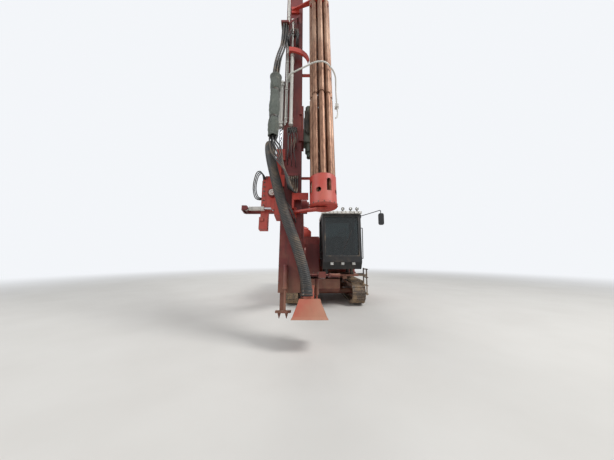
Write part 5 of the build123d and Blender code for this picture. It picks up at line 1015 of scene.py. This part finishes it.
def cushion(name, width, deep, thick, place):
    """A swollen pad with two seams in its upper face."""
    pad = begin("cube", name, size=1)
    grow(width, deep, thick)
    bevel(thick * 0.28, 3)
    end_edit(pad, 60)
    modified(pad, "REMESH", mode="VOXEL", voxel_size=0.012)
    start = [vert.co.copy() for vert in pad.data.vertices]
    cloth = pad.modifiers.new("air", "CLOTH")
    cloth.settings.use_pressure = True
    cloth.settings.uniform_pressure_force = 4
    cloth.settings.effector_weights.gravity = 0
    for step in range(1, CLOTH_STEPS):
        bpy.context.scene.frame_set(step)
    swollen = pad.evaluated_get(bpy.context.evaluated_depsgraph_get())
    moved = [vert.co.copy() for vert in swollen.data.vertices]
    pad.modifiers.remove(cloth)
    bpy.context.scene.frame_set(1)
    for vert, old, new in zip(pad.data.vertices, start, moved):
        step = new - old
        vert.co = old + step * min(1.0, MOST_SWELL / max(step.length, 1e-6))
    for vert in pad.data.vertices:
        channel = min(abs(abs(vert.co.x) - width * 0.27), SEAM_WIDTH) / SEAM_WIDTH
        if vert.co.z > 0:
            vert.co.z -= (1 - channel) * SEAM_DEPTH
    pad.data.transform(place)
    bpy.ops.object.shade_smooth_by_angle(angle=radians(80))
    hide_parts("seat")
    print(name, "points", len(pad.data.vertices))
    return fit(pad, seat_cloth, "carrier")


cushion("seat_cushion", 0.44, 0.44, 0.085, Matrix.Translation(SEAT_SPOT + Vector((0, -0.02, 0.322))))
lean_back = Matrix.Rotation(radians(97), 4, "X")
cushion("seat_back", 0.4, 0.56, 0.075, Matrix.Translation(SEAT_SPOT + Vector((0, 0.215, 0.7))) @ lean_back)

# %% [markdown]
# ## Canopy fittings
# The engine doors close with flush latches, and air leaves through a round guard of rings and spokes on the
# hatch. Blank plates stand where a maker would put his signs.

# %% Latches
latch = begin("cube", "latch_template", size=1)
grow(0.075, 0.105, 0.012)
bevel(0.005, 2)
pick_top(latch, 0.003)
inset(0.012)
lift(-0.008)
inset(0.01)
extrude(0.014)
grow(0.8, 0.55, 1)
end_edit(latch, 30)
for side, door in ((1, "canopy_door_left"), (-1, "canopy_door_right")):
    spots = [facing(machine(side * 1.102, 1.13, height), LEFT * side, pi / 2) for height in (1.3, 1.9)]
    repeat(latch, door + "_latches", spots, door, black_paint)
drop(latch)

# %% Fan guard and blank plates
wire = {"minor_radius": 0.006, "minor_segments": 6}
guard = begin("torus", "fan_guard", major_radius=0.06, major_segments=28, **wire)
for radius in (0.12, 0.18, 0.24, 0.3):
    add("torus", major_radius=radius, major_segments=44, **wire)
for number in range(8):
    turned = (pi / 2, 0, pi * number / 8)
    add("cylinder", vertices=6, radius=0.007, depth=0.62, location=(0, 0, -0.008), rotation=turned)
end_edit(guard, 50)
fit(guard, black_paint, "carrier", Matrix.Translation(machine(0.2, 1.602, 2.268)))
plate = rounded_plate("plate_template", 0.3, 0.11, 0.012, 4, 0.003, 0.006, -0.001, 30)
signs = [facing(machine(side * 1.1, 0.35, 1.75), LEFT * side, pi / 2) for side in (-1, 1)]
repeat(plate, "blank_plates", signs, "carrier", pale_paint)
drop(plate)

# %% [markdown]
# ## Track shoes up close
# Four bolts hold each shoe to the chain. The chain runs over the big end wheels and, lower down, under the
# two end rollers. The line round four circles is their common tangents joined by arcs, so we walk along it
# and stop at each shoe.

# %% Walking round the track
WHEEL, ROLLER = 0.25, 0.105
SHOE_FACE, TRACK_MIDDLE, SHOES = 0.062, 1.05, 44
ROUND_ROLLER, ROUND_WHEEL = ROLLER + SHOE_FACE, WHEEL + SHOE_FACE
CIRCLES = (
    (-1.038, 0.217, ROUND_ROLLER),
    (1.038, 0.217, ROUND_ROLLER),
    (1.288, 0.418, ROUND_WHEEL),
    (-1.288, 0.418, ROUND_WHEEL),
)


def walk(circles, shares):
    """Points and outward angles of the belt round circles (y, z, radius), at shares of its length."""
    after = circles[1:] + circles[:1]
    angles = []
    for (y, z, radius), (next_y, next_z, next_radius) in zip(circles, after):
        apart = hypot(next_y - y, next_z - z)
        angles.append(atan2(next_z - z, next_y - y) - acos((radius - next_radius) / apart))
    runs = []
    for number, (y, z, radius) in enumerate(circles):
        first, last = angles[number - 1], angles[number]
        edge = Vector((cos(last), sin(last)))
        middle, next_middle = Vector((y, z)), Vector(after[number][:2])
        leave, meet = middle + edge * radius, next_middle + edge * after[number][2]
        runs.append((radius * ((last - first) % (2 * pi)), middle, radius, first))
        runs.append(((meet - leave).length, leave, None, last))
    total = sum(run[0] for run in runs)
    for share in shares:
        left = share % 1 * total
        for length, spot, radius, angle in runs:
            if left <= length:
                break
            left -= length
        if radius:
            angle += left / radius
            yield spot + radius * Vector((cos(angle), sin(angle))), angle
        else:
            yield spot + left * Vector((-sin(angle), cos(angle))), angle


# %% Shoe bolts
shoe_bolt = bolt_head(0.012)
shoe_shares = [(shoe + share) / SHOES for shoe in range(SHOES) for share in (0.24, 0.76)]
for side, name in ((1, "left"), (-1, "right")):
    places = []
    for (y, z), angle in walk(CIRCLES, shoe_shares):
        outwards = Vector((0, cos(angle), sin(angle)))
        for across in (-0.062, 0.062):
            spot = machine(side * TRACK_MIDDLE + across, y, z) + outwards * 0.0242
            places.append(facing(spot, outwards))
    repeat(shoe_bolt, f"shoe_bolts_{name}", places, "carrier")
drop(shoe_bolt)

# %% [markdown]
# ## Bolts on the flanges
# Wherever a cover or a bracket is fixed there is a row or a ring of bolts, and their size tells how much it
# carries. A row is a start, an end and a number.

# %% Rows and rings on the mast
def row(start, end, count, way):
    """Places along a straight line, all facing one way."""
    return [facing(start.lerp(end, number / (count - 1)), way) for number in range(count)]


small_bolt, big_bolt = bolt_head(0.009), bolt_head(0.015)
beam_bolts = row(on_mast(-0.542, -0.1402, 0.6), on_mast(-0.542, -0.1402, 9.2), 30, MAST_FRONT)
repeat(small_bolt, "beam_bolts", beam_bolts, "feed_beam")
plate_bolts = row(on_mast(-0.955, 0.1748, 2.2), on_mast(-0.955, 0.1748, 2.72), 6, MAST_FRONT)
plate_bolts += row(on_mast(-0.9, 0.1748, 2.835), on_mast(-0.64, 0.1748, 2.835), 4, MAST_FRONT)
repeat(big_bolt, "swing_plate_bolts", plate_bolts, "feed_holder")
end_bolts = ring_of(on_mast(-1.0302, 0.79, 2.4), -LEFT, 0.086, 10)
end_bolts += ring_of(on_mast(-0.773, 0.1148, 2.46), MAST_FRONT, 0.052, 8)
repeat(small_bolt, "tilt_cover_bolts", end_bolts, "tilt_bracket")
repeat(small_bolt, "boom_cover_bolts", ring_of(on_mast(0.0022, 0.79, 2.4), LEFT, 0.096, 10), "boom")
rim_bolts = []
for number in range(16):
    turn = 2 * pi * number / 16
    around = Vector((cos(turn), 0, 0)) + MAST_BACK * sin(turn)
    rim_bolts.append(facing(on_mast(0.257, -0.35, 1.957) + around * 0.2598, around))
repeat(small_bolt, "drum_rim_bolts", rim_bolts, "carousel")
jaw_bolts = [facing(on_mast(0.3722, y, 0.74 + up), LEFT) for y in (-0.108, 0.108) for up in (-0.018, 0.018)]
repeat(small_bolt, "centralizer_bolts", jaw_bolts, "feed_beam")
repeat(small_bolt, "hood_collar_bolts", ring_of(on_mast(0, 0, 0.5602), MAST_UP, 0.086, 6), "dust_hood")

# %% Rows on the deck and the canopy
deck_bolts, canopy_bolts = [], []
for side in (-1, 1):
    edge = side * 1.1902
    deck_bolts += row(machine(edge, 0.0, 0.95), machine(edge, 2.2, 0.95), 12, LEFT * side)
deck_bolts += row(machine(-0.9, -1.7202, 1.06), machine(-0.24, -1.7202, 1.06), 6, FORWARD)
repeat(big_bolt, "deck_bolts", deck_bolts, "carrier")
for side in (-1, 1):
    wall = side * 1.1002
    for z in (1.08, 2.1):
        canopy_bolts += row(machine(wall, -0.1, z), machine(wall, 0.86, z), 6, LEFT * side)
for y in (-0.09, 0.56, 1.04, 2.18):
    canopy_bolts += row(machine(-0.94, y, 2.2502), machine(0.94, y, 2.2502), 9, UP)
for x in (-0.92, 0.92):
    canopy_bolts += row(machine(x, 2.2502, 1.08), machine(x, 2.2502, 2.08), 6, -FORWARD)
repeat(small_bolt, "canopy_bolts", canopy_bolts, "carrier")
drop(small_bolt, big_bolt)

# %% [markdown]
# ## Hub cap and hoses of the swing plate
# The mast swings on a hub whose pale cap shows beside the suction hose. Its oil comes through hoses that
# stand out in a wide arc, so that they aren't pinched when the mast leans.

# %% Hub cap
cap = begin("cylinder", "hub_cap", vertices=40, radius=0.07, depth=0.012)
pick_top(cap)
inset(0.034)
extrude(0.018)
grow(0.82, 0.82, 1)
inset(0.006)
lift(-0.004)
end_edit(cap, 35)
fit(cap, pale_paint, "tilt_bracket", facing(on_mast(-0.773, 0.109, 2.46), MAST_FRONT))

# %% Plate hoses
def oil_hose(name, spots, radius, body):
    """A black hose along corners that are given on the mast."""
    rail(name, [on_mast(*spot) for spot in spots], radius, black_rubber, body)


for number in range(3):
    out, lane = 0.03 * number, 0.02 * number
    arc = (
        (-0.94 - lane, 0.172, 2.79),
        (-0.945 - lane, 0.09, 2.86 + out),
        (-1.06 - out, 0.1, 2.9 + out),
        (-1.12 - out, 0.11, 2.65),
        (-1.105 - out, 0.12, 2.44),
        (-1.04 - out, 0.15, 2.33 - lane),
        (-0.985, 0.195, 2.365 - lane),
    )
    oil_hose(f"plate_hose_{number}", arc, 0.011, "feed_holder")

# %% [markdown]
# ## Thin hoses on the beam
# A drill's mast is never tidy. Pilot lines as thick as a finger leave a manifold, bow out over one another
# and go back into the beam. Each is held at both ends. A table gives its feet, and a seeded random source
# moves its middle, so that no two bow alike.

# %% Manifolds
def manifold(name, low, high, ways):
    """A drilled block between two corners on the mast, with a port for each hose."""
    size = [b - a for a, b in zip(low, high)]
    block = begin("cube", name, size=1, location=[(a + b) / 2 for a, b in zip(low, high)], scale=size)
    bevel(0.006, 2)
    for way in range(ways):
        spot = (low[0] + size[0] * (way + 0.5) / ways, low[1] - 0.004, (low[2] + high[2]) / 2)
        add("cylinder", vertices=6, radius=0.013, depth=0.012, location=spot, rotation=ACROSS)
        bevel(0.0015, 1)
    end_edit(block, 35)
    fit(block, grey_paint, "feed_beam", framed(on_mast(0, 0, 0), LEFT, MAST_BACK, MAST_UP))


manifold("upper_manifold", (-0.345, -0.19, 6.56), (-0.235, -0.1403, 6.64), 4)
manifold("lower_manifold", (-0.45, -0.2, 3.74), (-0.25, -0.1403, 3.82), 6)
print("manifolds", 2)

# %% Thin hoses
# Each row: how many hoses, how far in front they start, the first foot and the step to the next, the same for
# the other foot, how far they bow out, and the hose's radius. Feet are x and height on the mast.
BEAM_FACE, PORT_FACE = 0.1405, 0.2
THIN_HOSES = (
    (4, PORT_FACE, (-0.331, 6.6), (0.027, 0.0), (-0.3, 6.12), (0.018, 0.035), 0.15, 0.008),
    (3, BEAM_FACE, (-0.35, 6.48), (-0.03, 0.05), (-0.5, 6.22), (0.02, -0.04), 0.17, 0.009),
    (6, PORT_FACE, (-0.433, 3.78), (0.033, 0.0), (-0.44, 3.06), (0.034, 0.06), 0.1, 0.008),
    (3, BEAM_FACE, (-0.3, 3.56), (-0.06, 0.05), (-0.27, 2.9), (-0.085, 0.03), 0.12, 0.007),
    (2, BEAM_FACE, (-0.47, 2.12), (0.0, 0.1), (-0.3, 1.735), (0.04, -0.02), 0.13, 0.01),
)
chance = random.Random(7)
thin_ends = []
for many, depth, first, step, last, shift, bow, radius in THIN_HOSES:
    for number in range(many):
        high_x, high = (a + number * b for a, b in zip(first, step))
        low_x, low = (a + number * b for a, b in zip(last, shift))
        out = 0.2 + bow + chance.uniform(-0.03, 0.03)
        drift = chance.uniform(-0.05, 0.05)
        reach = high - low
        arc = (
            (high_x, -depth, high),
            (high_x, -depth - 0.05, high),
            (high_x + drift, -out, high - 0.12 * reach),
            ((high_x + low_x) / 2 - drift, -out, low + 0.45 * reach),
            (low_x, -out + 0.02, low + 0.06 * reach),
            (low_x, -0.185, low),
            (low_x, -BEAM_FACE, low),
        )
        oil_hose(f"thin_hose_{len(thin_ends) // 2}", arc, radius, "feed_beam")
        thin_ends += [facing(on_mast(*foot), MAST_FRONT) for foot in (arc[0], arc[-1])]
small = ferrule(0.0085)
repeat(small, "thin_hose_ends", thin_ends, "feed_beam")
drop(small)
